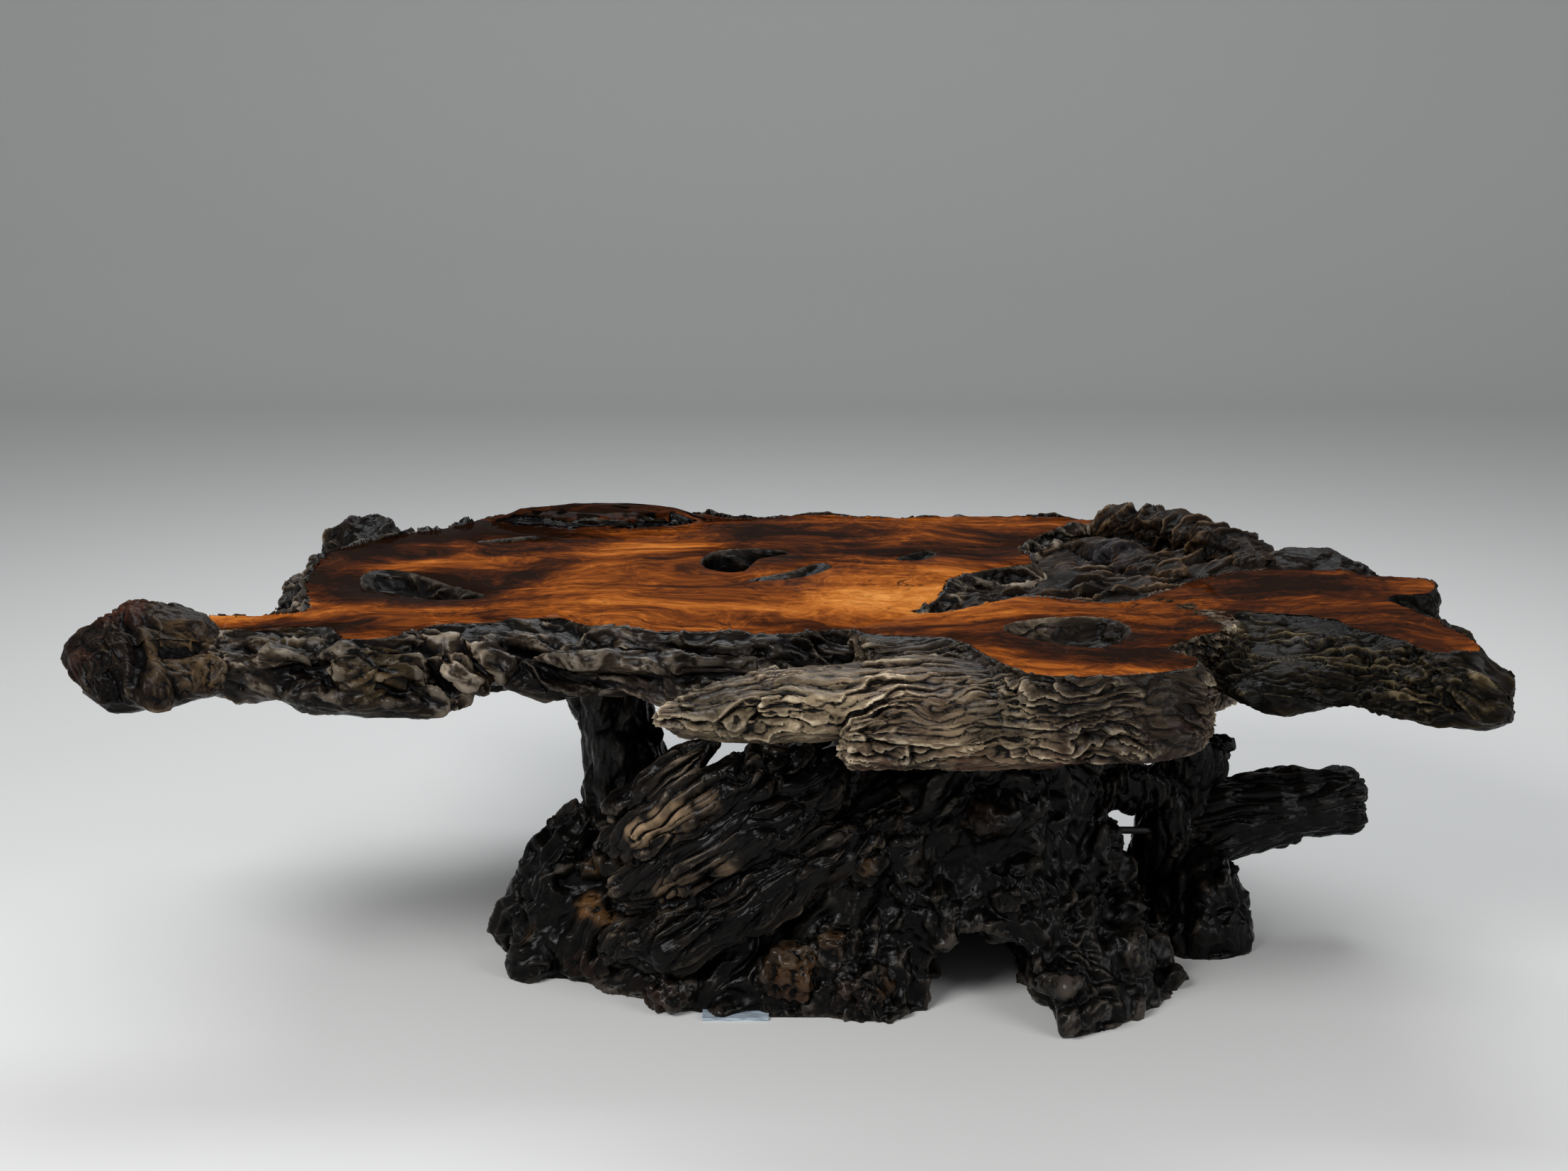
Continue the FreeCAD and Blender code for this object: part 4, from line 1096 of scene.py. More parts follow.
def burl_group() -> bpy.types.NodeTree:
    """Shader group for the polished figure, continuous over all pieces of the top.

    Returns:
        The group.
    """
    graph, takes, gives = new_group(
        "BurlFigure", "ShaderNodeTree", {"Vector": "NodeSocketVector", "Level": "NodeSocketFloat"},
        {"Color": "NodeSocketColor", "Height": "NodeSocketFloat", "Roughness": "NodeSocketFloat"})
    place = takes.outputs["Vector"]
    drift = graph.add("ShaderNodeTexNoise", {"Vector": place, "Scale": 3.2, "Detail": 3.0})
    drift = graph.vectors("SUBTRACT", drift.outputs["Color"], (0.5, 0.5, 0.5))
    drift = graph.vectors("SCALE", drift, 0.30)
    pushed = graph.vectors("ADD", place, drift)
    bands = graph.noise(graph.vectors("MULTIPLY", pushed, (4.0, 23.0, 16.0)), 1.0, 8.0, 0.68, 0.8)
    broad = graph.noise(graph.vectors("MULTIPLY", pushed, (2.6, 5.0, 5.0)), 1.0, 4.0, 0.55, 0.5)
    curls = graph.noise(pushed, 26.0, 5.0, 0.65, 2.2)
    value = graph.times(bands, 0.95)
    value = graph.plus(value, graph.times(broad, 0.75))
    value = graph.plus(value, graph.times(curls, 0.46))
    value = graph.minus(value, 0.57)
    for mark in FIGURES:
        offset = graph.vectors("SUBTRACT", pushed, (mark.x, mark.y, 0.0))
        turned = graph.add("ShaderNodeVectorRotate", {"Vector": offset, "Angle": -mark.turn},
                           rotation_type="Z_AXIS").outputs[0]
        scaled = graph.vectors("MULTIPLY", turned, (1 / mark.wide, 1 / mark.deep, 0.0))
        away = graph.add("ShaderNodeVectorMath", {0: scaled}, operation="LENGTH").outputs["Value"]
        mask = graph.mapped(away, 0.15, 1.2, 1.0, 0.0)
        value = graph.minus(value, graph.times(mask, 0.50 * mark.share))
    value = graph.plus(value, takes.outputs["Level"])
    colour = graph.ramp(value, (
        (0.20, linear((24, 11, 5))), (0.36, linear((62, 28, 10))), (0.48, linear((104, 51, 16))),
        (0.60, linear((144, 77, 25))), (0.74, linear((178, 106, 42))), (0.90, linear((202, 136, 68)))))
    fibre = graph.noise(graph.vectors("MULTIPLY", pushed, (24.0, 260.0, 200.0)), 1.0, 4.0, 0.65)
    tone = graph.mapped(fibre, 0.3, 0.7, 0.78, 1.14, "LINEAR")
    grey = graph.add("ShaderNodeCombineColor", {0: tone, 1: tone, 2: tone}).outputs[0]
    colour = graph.mix(1.0, colour, grey, "MULTIPLY")
    eyes = graph.add("ShaderNodeTexVoronoi", {"Vector": pushed, "Scale": 34.0, "Randomness": 1.0},
                     feature="F1").outputs["Distance"]
    where = graph.mapped(graph.noise(place, 6.0, 2.0), 0.50, 0.64)
    dots = graph.times(graph.mapped(eyes, 0.05, 0.24, 0.8, 0.0), where)
    colour = graph.mix(dots, colour, linear((46, 22, 12)))
    check = graph.noise(graph.vectors("MULTIPLY", pushed, (2.0, 9.0, 9.0)), 1.0, 3.0, 0.5, 1.0)
    check = graph.maths("ABSOLUTE", graph.minus(check, 0.5))
    where = graph.mapped(graph.noise(place, 4.3, 2.0), 0.50, 0.60)
    lines = graph.times(graph.mapped(check, 0.0, 0.009, 0.85, 0.0), where)
    colour = graph.mix(lines, colour, linear((18, 10, 7)))
    graph.feed(gives.inputs["Color"], colour)
    graph.feed(gives.inputs["Height"], graph.plus(graph.times(broad, 0.6), graph.times(fibre, 0.02)))
    graph.feed(gives.inputs["Roughness"], graph.mapped(curls, 0.3, 0.7, 0.10, 0.22, "LINEAR"))
    return graph.tree


@dataclass(frozen=True)
class Gloss:
    """Constants of a varnish."""

    coat: float
    coat_roughness: float
    coat_ior: float


BARK_GLOSS = Gloss(0.0, 0.2, 1.5)
TOP_GLOSS = Gloss(0.11, 0.06, 1.25)
TOP_SPECULAR = 0.0
FIGURE_LEVEL = -0.05


@dataclass
class Finishes:
    """Builds and keeps the table's materials."""

    bark: bpy.types.NodeTree = field(default_factory=bark_group)
    burl: bpy.types.NodeTree = field(default_factory=burl_group)
    made: dict[str, bpy.types.Material] = field(default_factory=dict)

    def wood(self, slot: Slot, polished: bool) -> bpy.types.Material:
        """A wooden piece's material.

        Args:
            slot: the finish's slot.
            polished: whether it is the one for the polished face and its rim.

        Returns:
            The material, made on the first call.
        """
        name = f"{slot.value}_polished" if polished else f"{slot.value}_skin"
        if name not in self.made:
            self.made[name] = self._wood(name, BARKS[slot], polished)
        return self.made[name]

    def _wood(self, name: str, finish: BarkFinish, polished: bool) -> bpy.types.Material:
        """Make a wooden material.

        Args:
            name: the material's name.
            finish: its tints and gloss.
            polished: whether the figured finish lies over the bark's on the polished plane.

        Returns:
            The material.
        """
        material, graph = empty_material(name)
        skin = graph.add("ShaderNodeGroup", node_tree=self.bark)
        for label in ("groove", "body", "patch", "crest", "stain", "rust"):
            skin.inputs[label.capitalize()].default_value = (*linear(getattr(finish, label)), 1.0)
        skin.inputs["Patchy"].default_value = finish.patchy
        skin.inputs["Rough"].default_value = finish.rough
        skin.inputs["Fibre Scale"].default_value = finish.fibre_scale
        colour, roughness, height = (skin.outputs[label] for label in ("Color", "Roughness", "Height"))
        strength: Any = finish.bump
        gloss = TOP_GLOSS if polished else BARK_GLOSS
        coat: Any = gloss.coat
        if polished:
            place = graph.add("ShaderNodeTexCoord").outputs["Object"]
            figure = graph.add("ShaderNodeGroup", {"Vector": place, "Level": FIGURE_LEVEL},
                               node_tree=self.burl)
            flat = graph.add("ShaderNodeAttribute", attribute_name="polish").outputs["Fac"]
            flat = graph.mapped(flat, 0.3, 0.7)
            rise = graph.add("ShaderNodeSeparateXYZ", {0: place}).outputs[2]
            above = graph.mapped(rise, *SWELL_BAND)
            bark = graph.times(above, graph.minus(1.0, flat))
            flat = graph.minus(1.0, bark)
            flat = graph.times(flat, graph.mapped(rise, *EDGE_BAND))
            rest = graph.minus(1.0, flat)
            colour = graph.mix(flat, colour, figure.outputs["Color"])
            roughness = graph.plus(graph.times(roughness, rest),
                                   graph.times(flat, figure.outputs["Roughness"]))
            strength = graph.mapped(flat, 0.0, 1.0, finish.bump, 0.02, "LINEAR")
            height = graph.plus(graph.times(height, rest), graph.times(figure.outputs["Height"], flat))
            coat = graph.times(flat, gloss.coat)
        bump = graph.add("ShaderNodeBump", {
            "Strength": strength, "Distance": BUMP_DISTANCE, "Height": height})
        shader = graph.add("ShaderNodeBsdfPrincipled", {
            "Base Color": colour, "Roughness": roughness, "Normal": bump.outputs[0],
            "Coat Weight": coat, "Coat Roughness": gloss.coat_roughness, "Coat IOR": gloss.coat_ior,
            "Specular IOR Level": TOP_SPECULAR if polished else finish.specular})
        graph.add("ShaderNodeOutputMaterial", {"Surface": shader.outputs[0]})
        return material

    def plain(self, name: str, dark: Colour, light: Colour, roughness: float) -> bpy.types.Material:
        """A quiet material with a fine speckled grain.

        Args:
            name: the material's name.
            dark: colour of the dark grain.
            light: colour of the light grain.
            roughness: its middle roughness.

        Returns:
            The material.
        """
        material, graph = empty_material(name)
        place = graph.add("ShaderNodeTexCoord").outputs["Object"]
        grain = graph.noise(graph.vectors("MULTIPLY", place, (1.0, 6.0, 6.0)), 60.0, 4.0, 0.6)
        colour = graph.ramp(grain, ((0.35, dark), (0.65, light)))
        bump = graph.add("ShaderNodeBump", {"Strength": 0.2, "Distance": 0.001, "Height": grain})
        shader = graph.add("ShaderNodeBsdfPrincipled", {
            "Base Color": colour, "Normal": bump.outputs[0],
            "Roughness": graph.mapped(grain, 0.2, 0.8, roughness - 0.08, roughness + 0.08)})
        graph.add("ShaderNodeOutputMaterial", {"Surface": shader.outputs[0]})
        return material


@dataclass
class CarvedGroup:
    """A sub-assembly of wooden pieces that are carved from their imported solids.

    Args:
        finishes: where materials come from.
        woods: the pieces.
        seam: how far a piece reaches into its neighbour, so that no seam gapes.
        crest_span: height over which the relief mask goes from middle to crest.
        form_span: the same for the broader form mask.
    """

    finishes: Finishes
    woods: tuple[Wood, ...]
    seam: float = 0.003
    crest_span: float = 0.0032
    form_span: float = 0.008

    def build(self) -> list[bpy.types.Object]:
        """Carve, finish and dress each piece.

        Returns:
            The finished pieces.
        """
        tree = fine_relief_tree()
        made = []
        for wood in self.woods:
            piece = self.finished(self.carved(wood), wood, tree)
            self.dress(piece, wood)
            made.append(piece)
        return made

    def edge(self, wood: Wood) -> float:
        """Edge of the cells that a piece is remeshed to."""
        return wood.voxel * 1.0

    def settle(self, wood: Wood, skin: "Skin") -> None:
        """Adjust a skin before it is applied; a group overrides it."""

    def carved(self, wood: Wood) -> bpy.types.Object:
        """A piece with its main relief, before the fine one.

        Args:
            wood: what to carve.

        Returns:
            The new object, at the origin, with its masks stored on it.
        """
        mesh = remeshed(wood.node, self.edge(wood), wood.rounding)
        places, normals = mesh_arrays(mesh)
        noise = Lattice(wood.relief.seed + 50)
        height, grain = wood.skin(places)
        touching = spread(contact(places, normals, wood.neighbours), mesh, 2)
        free = 1 - smooth_step(0.2, 0.8, touching)
        skin = Skin(mesh, places, normals, height, free, touching, noise)
        self.settle(wood, skin)
        skin.free[(places[:, 2] < FOOT_BAND) & (normals[:, 2] < -0.5)] = 0
        moved = places + normals * (skin.height * skin.free)[:, None]
        moved += np.array(wood.relief.lean) * (skin.height * skin.free)[:, None]
        moved += normals * (self.seam * smooth_step(0.3, 0.9, touching) * (1 - skin.polish))[:, None]
        if skin.level is not None:
            moved[skin.flat, 2] = skin.level[skin.flat]
        moved[:, 2] = np.maximum(moved[:, 2], 0.0)
        mesh.vertices.foreach_set("co", moved.astype(np.float32).ravel())
        write_value(mesh, "polish", skin.polish)
        write_value(mesh, "loose", np.maximum(skin.free, skin.rim))
        for name, marks in (("stain", wood.stains), ("rust", wood.rust)):
            write_value(mesh, name, spotted(marks, places, noise))
        # The soot attribute holds painted shade in gaps, recesses and under the top's edge, and some darker
        # bark.
        write_value(mesh, "shade_and_dark_bark", np.maximum(spotted(wood.shade_and_dark_bark, places, noise), skin.shade))
        write_vector(mesh, "grain", grain)
        mesh.update()
        return placed(f"{wood.node}_wood", mesh)

    def finished(self, piece: bpy.types.Object, wood: Wood, tree: bpy.types.NodeTree) -> bpy.types.Object:
        """Cut the fine relief, keep the piece under the triangle ceiling and bake both.

        Args:
            piece: the carved piece.
            wood: what it is.
            tree: the fine relief's geometry nodes.

        Returns:
            The finished piece, which stands for its node and rides on the body.
        """
        name = piece.name
        modifier = piece.modifiers.new("fine_relief", "NODES")
        modifier.node_group = tree
        wanted = {"Fibre Depth": wood.relief.fibre_depth, "Pit Depth": wood.relief.pit_depth,
                  "Material": self.finishes.wood(wood.finish, False)}
        for item in tree.interface.items_tree:
            if item.in_out == "INPUT" and item.name in wanted:
                modifier[item.identifier] = wanted[item.name]
        triangles = 2 * len(piece.data.polygons)
        if triangles > TRIANGLE_CEILING:
            fewer = piece.modifiers.new("fewer", "DECIMATE")
            fewer.ratio = TRIANGLE_CEILING / triangles
        mesh = baked(piece)
        without_specks(mesh)
        mesh.name = name
        mesh.polygons.foreach_set("use_smooth", [True] * len(mesh.polygons))
        crest = 0.7 * local_relief(mesh, CREST_PASSES, self.crest_span)
        crest += 0.3 * local_relief(mesh, FINE_PASSES, 0.2 * self.crest_span)
        write_value(mesh, "relief", crest)
        write_value(mesh, "form", local_relief(mesh, FORM_PASSES, self.form_span))
        mesh.update()
        made = placed(name, mesh)
        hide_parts(wood.node)
        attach(made, BODY)
        return made

    def dress(self, piece: bpy.types.Object, wood: Wood) -> None:
        """Leave a finished piece as it is: its nodes have given its skin its material; a group overrides it.
        """


@dataclass
class Skin:
    """Everything that is known at the vertices of a piece while it is carved."""

    mesh: bpy.types.Mesh
    places: np.ndarray
    normals: np.ndarray
    height: np.ndarray
    free: np.ndarray
    touching: np.ndarray
    noise: Lattice
    level: Optional[np.ndarray] = None

    def __post_init__(self) -> None:
        """Start the masks of the polished plane, its rim and the rim's shade at nothing."""
        count = len(self.places)
        self.flat = np.zeros(count, bool)
        self.polish = np.zeros(count)
        self.rim = np.zeros(count)
        self.shade = np.zeros(count)


@dataclass
class CarvedTop(CarvedGroup):
    """The top: slab, ledge, wing, ridge, burls and knob, under one polished plane.

    Args:
        plane: height of the polished plane.
        rim: width of the rubbed rim between polish and bark.
        rim_depth: how far the rim dips under the plane.
        flat_band: how far from the plane a vertex may lie and still belong to it.
        flat_facing: how far its normal has to point up for that.
        seam_facing: the same for a vertex at a seam.
        swell_facing: the same for the polished swell over the plane.
        flush: how far a rounded seam is lifted, so that both sides of it are flush.
        lip: depth under the plane over which the bark's edge gets black painted shade.
        edge_band: depth under the plane over which the bark gets its relief back.
        rim_hold: how much of the bark's relief is held back at its upper rim.
        rim_shade: how much painted shade darkens the bark there.
        under_hold: how much of the relief is held back on undersides.
        hollow_share: share of the relief that the insides of hollows keep.
    """

    plane: float = TOP_PLANE
    rim: float = 0.010
    rim_depth: float = 0.0025
    flat_band: float = 0.0009
    flat_facing: float = 0.97
    seam_facing: float = 0.3
    swell_facing: float = 0.75
    flush: float = 0.003
    lip: float = 0.0015
    edge_band: float = 0.010
    rim_hold: float = 0.45
    rim_shade: float = 0.8
    under_hold: float = 0.6
    hollow_share: float = 0.5

    def settle(self, wood: Wood, skin: Skin) -> None:
        """Keep the polished plane flat, break its rim up and paint shade on the bark under it.

        Args:
            wood: the piece.
            skin: its skin, changed in place.
        """
        skin.free *= 1 - self.under_hold * smooth_step(0.25, 0.75, -skin.normals[:, 2])
        if not wood.polished:
            return
        rise = skin.places[:, 2] - self.plane
        near = spread(skin.touching, skin.mesh, 3) > 0.04
        flat = (np.abs(rise) < self.flat_band) & (skin.normals[:, 2] > self.flat_facing)
        flat |= near & (np.abs(rise) < self.flush) & (skin.normals[:, 2] > self.seam_facing)
        swollen = (rise > 0) & (skin.normals[:, 2] > self.swell_facing) & ~flat
        passes = int(self.rim / self.edge(wood)) + 1
        depth = spread((flat | (skin.touching > 0.4)).astype(float), skin.mesh, passes)
        ragged = skin.noise.layered(skin.places / 0.030, 3)
        hollow = np.zeros(len(rise))
        dark = np.zeros(len(rise))
        for spot in wood.hollows:
            away = np.linalg.norm(skin.places[:, :2] - np.array(spot.place[:2]), axis=1)
            inside = 1 - smooth_step(1.0, 1.3, away / spot.radius)
            hollow = np.maximum(hollow, inside)
            # Painted shade: the insides of the hollows, below the plane, are darkened.
            dark = np.maximum(dark, spot.share * inside * (rise < -0.0006))
        inner = np.maximum(smooth_step(0.66, 0.90, depth + 0.16 * ragged), np.maximum(hollow, near))
        bare = spotted(wood.bare, skin.places, skin.noise)
        inner *= 1 - bare
        skin.rim = (1 - inner) * flat
        bumps = skin.noise.rolls(skin.places / 0.016) + 0.5 * skin.noise.rolls(skin.places / 0.007)
        skin.flat = flat
        skin.level = self.plane + skin.rim * self.rim_depth * (bumps - 1.5)
        skin.polish = np.where(flat, inner, 0.0)
        skin.polish = np.maximum(skin.polish, swollen * smooth_step(-0.5, 0.0, ragged))
        skin.free *= np.where(flat, 0.0, 1.0)
        skin.free *= 1 - 0.85 * swollen * smooth_step(self.swell_facing, 0.9, skin.normals[:, 2])
        upper = 1 - smooth_step(0.001, self.edge_band, -rise)
        skin.free *= 1 - upper * (self.rim_hold + (0.95 - self.rim_hold) * hollow)
        skin.free *= 1 - (1 - self.hollow_share) * hollow
        # Painted shade: the bark's upper edge under the plane is darkened, and so is the broken rim.
        skin.shade = np.maximum(self.rim_shade * upper * (0.6 + 0.6 * ragged), 0.9 * skin.rim)
        skin.shade *= 1 - bare
        # Painted shade: a black band on the bark just under the plane and at the seams.
        lip = 1 - smooth_step(self.lip, 4 * self.lip, -rise)
        skin.shade = np.maximum(skin.shade, np.maximum(dark, 0.95 * lip * ~flat))

    def dress(self, piece: bpy.types.Object, wood: Wood) -> None:
        """Give a polished piece's face the figured finish.

        Args:
            piece: the finished piece.
            wood: what it is.
        """
        super().dress(piece, wood)
        if not wood.polished:
            return
        mesh = piece.data
        mesh.materials.append(self.finishes.wood(wood.finish, True))
        polish = np.empty(len(mesh.vertices), np.float32)
        mesh.attributes["polish"].data.foreach_get("value", polish)
        corners = np.empty(len(mesh.loops), np.int32)
        mesh.loops.foreach_get("vertex_index", corners)
        starts = np.empty(len(mesh.polygons), np.int32)
        mesh.polygons.foreach_get("loop_start", starts)
        most = np.maximum.reduceat(polish[corners], starts)
        mesh.polygons.foreach_set("material_index", (most > LEAST_POLISH).astype(np.int32))


SEAM_FIBRES = spots((455, -95, 460, 14, 0.8), (478, -125, 460, 18, 0.9), (498, -160, 460, 22, 1),
                    (512, -198, 460, 26, 1), (520, -235, 460, 30, 1))

TOP_WOODS = (
    Wood("main_slab", 0.0024, Relief(
        Surface.DRAPED, (1.0, 0.0, -0.16), 0.050, 0.013, 9.0, 0.022, 0.090, 0.006, wander=0.024,
        seed=11),
        Slot.POLISHED_BURL, polished=True,
        strokes=(
            stroke(16, 6, (-610, -259, 450), (-574, -262, 452), (-534, -250, 458)),
            stroke(12, 6, (-560, -272, 432), (-525, -258, 455)),
            stroke(14, -9, (-600, -282, 435), (-545, -290, 425), (-500, -285, 440)),
            stroke(24, -8, (-490, -300, 440), (-440, -314, 415)),
            stroke(10, 7, (-510, -292, 450), (-465, -312, 425), (-420, -305, 395)),
            stroke(14, 9, (-450, -305, 392), (-383, -290, 372)),
            stroke(12, -10, (-430, -262, 455), (-405, -288, 432), (-385, -290, 400)),
            stroke(12, 8, (-395, -262, 457), (-350, -275, 435), (-335, -270, 410)),
            stroke(22, -7, (-378, -283, 430), (-366, -285, 424)),
            stroke(11, -8, (-330, -245, 435), (-250, -255, 425), (-170, -270, 420), (-100, -280, 425)),
            stroke(60, -12, (-660, 100, 420), (-660, 20, 420), (-635, -30, 420)),
        ),
        stains=spots((-460, -310, 425, 45, 0.6), (-360, -280, 430, 30, 0.3), (-570, -260, 450, 40, 0.6),
                     (-540, -20, 430, 40, 0.6)),
        # Painted shade on the slab's front over the ledge and under the top's edge, and some darker bark.
        shade_and_dark_bark=spots((-550, -280, 400, 60, 0.9), (-220, -260, 400, 70, 0.6), (30, -300, 410, 60, 0.9),
                   (100, -310, 420, 60, 0.9), (-50, -290, 400, 50, 0.8), (-430, -290, 390, 50, 0.6),
                   (-655, 40, 430, 60, 0.8), (-130, -260, 435, 40, 0.8), (-330, -280, 395, 50, 0.7),
                   (-500, -290, 385, 50, 0.6), (-10, -280, 440, 60, 0.9), (-80, -270, 440, 70, 0.8),
                   (-280, -280, 400, 50, 0.7)),
        hollows=spots((-54, 130, 430, 75, 1), (-455, -12, 430, 105, 0.8), (-385, 262, 450, 45, 0.9),
                      (0, 55, 450, 70, 0.8), (170, 158, 450, 36, 0.8)),
        neighbours=("front_ledge", "rear_ridge", "left_end_burl", "rear_left_knob")),
    Wood("front_ledge", 0.0020, Relief(
        Surface.STRANDED, (1.0, 0.0, 0.06), 0.029, 0.0115, 11.0, 0.0155, 0.090, 0.005, wander=0.013,
        wander_size=0.080, lean=(0.0, 0.0, -0.35), seed=12),
        Slot.DRIFTWOOD, polished=True,
        stains=spots((20, -430, 420, 70, 0.5), (-80, -420, 400, 50, 0.5), (220, -450, 410, 60, 0.4)),
        rust=spots((100, -420, 350, 45, 0.8), (200, -420, 348, 50, 0.9), (300, -420, 350, 50, 0.9),
                   (390, -420, 355, 45, 0.9), (450, -430, 400, 60, 0.5)),
        bare=SEAM_FIBRES,
        # Painted shade at the ledge's right end and in the crack to the wing.
        shade_and_dark_bark=spots((465, -385, 450, 55, 1), (490, -300, 440, 60, 1), (380, -450, 380, 80, 0.7),
                   (505, -370, 420, 60, 0.9), (420, -440, 370, 70, 0.7), (480, -400, 420, 50, 0.9),
                   (470, -330, 410, 60, 0.9), (360, -456, 420, 50, 0.6), (410, -447, 420, 70, 0.85),
                   (340, -450, 380, 60, 0.7), (440, -440, 390, 80, 0.85)),
        hollows=spots((290, -250, 430, 70, 0.55), (355, -240, 430, 60, 1)),
        neighbours=("main_slab", "right_wing", "rear_ridge")),
    Wood("right_wing", 0.0023, Relief(
        Surface.STRANDED, (1.0, -0.20, -0.06), 0.030, 0.012, 9.0, 0.0165, 0.070, 0.004, wander=0.014,
        wander_size=0.07, tilt=50.0, seed=13),
        Slot.BURL_AND_BARK, polished=True, blend=Blend(Relief(
            Surface.DRAPED, (0.9, -0.4, -0.5), 0.048, 0.014, 10.0, 0.014, 0.070, 0.006, wander=0.016,
            wander_size=0.08, tilt=35.0, seed=33), (0.64, -0.35, 0.43), (0.74, -0.38, 0.42)),
        strokes=(stroke(75, -18, (828, -420, 420), (826, -280, 420)),
                 stroke(40, -6, (600, -370, 385), (720, -400, 385)),
                 stroke(40, -9, (520, -370, 390), (590, -370, 385))),
        # Painted reflection: these grey stains stand for glints near the rim.
        stains=spots((575, -250, 447, 16, 0.5), (765, -370, 450, 22, 0.5)),
        # Painted shade in the crack to the ledge and in the V notch, and some darker bark.
        shade_and_dark_bark=spots((500, -270, 430, 65, 1), (780, -410, 410, 50, 0.7), (500, -340, 410, 65, 1),
                   (620, -360, 395, 60, 0.7), (775, -60, 445, 45, 1)),
        hollows=spots((765, -75, 440, 65, 1)),
        bare=SEAM_FIBRES,
        neighbours=("front_ledge", "rear_ridge", "rear_burl")),
    Wood("rear_ridge", 0.0024, Relief(
        Surface.DRAPED, (0.9, 0.4, 0.1), 0.054, 0.014, 9.0, 0.017, 0.090, 0.010, wander=0.020,
        tilt=50.0, seed=14),
        Slot.ROUGH_BARK,
        # Painted reflection: these bluish stains stand for the ridge's sheen.
        stains=spots((420, 180, 457, 45, 0.6), (470, 170, 450, 35, 0.4)),
        shade_and_dark_bark=spots((280, 120, 440, 80, 0.7), (370, 90, 420, 60, 0.9)),
        neighbours=("main_slab", "front_ledge", "right_wing", "rear_burl")),
    Wood("rear_burl", 0.0020, Relief(
        Surface.FOLDED, (1.0, -0.4, 0.0), 0.026, 0.009, 7.0, 0.010, 0.050, 0.005, seed=15),
        Slot.LIVE_EDGE_KNOB, neighbours=("right_wing", "rear_ridge")),
    Wood("left_end_burl", 0.0020, Relief(
        Surface.FLOWING, (0.55, -0.2, -0.8), 0.074, 0.012, 10.0, 0.022, 0.080, 0.008, wander=0.026,
        wander_size=0.10, seed=16),
        Slot.LIVE_EDGE_KNOB,
        strokes=(
            stroke(13, -10, (-766, -258, 481), (-737, -297, 460), (-728, -319, 441), (-728, -336, 421)),
            stroke(12, 6, (-750, -258, 482), (-720, -300, 456), (-703, -325, 430)),
            stroke(30, -4, (-718, -295, 459), (-681, -297, 443), (-650, -301, 428)),
            stroke(14, -11, (-815, -262, 452), (-785, -287, 445), (-762, -310, 425)),
            stroke(10, 6, (-760, -318, 435), (-735, -337, 412), (-700, -335, 397)),
            stroke(9, 5, (-712, -322, 440), (-685, -318, 420), (-658, -308, 402)),
        ),
        stains=spots((-690, -297, 450, 50, 0.7), (-665, -300, 435, 35, 0.8)),
        rust=spots((-765, -245, 483, 40, 0.8), (-805, -275, 435, 25, 0.6)),
        shade_and_dark_bark=spots((-765, -315, 410, 45, 0.8), (-735, -300, 455, 14, 0.6)),
        neighbours=("main_slab",)),
    Wood("rear_left_knob", 0.0020, Relief(
        Surface.DRAPED, (0.5, 0.6, 0.6), 0.030, 0.010, 8.0, 0.011, 0.050, 0.005, seed=17),
        Slot.LIVE_EDGE_KNOB, shade_and_dark_bark=spots((-570, 270, 450, 80, 0.8)), neighbours=("main_slab",)),
)


@dataclass
class RootBase(CarvedGroup):
    """The base: stump, toe, posts, splinters, branch and rear root."""

    seam: float = 0.004


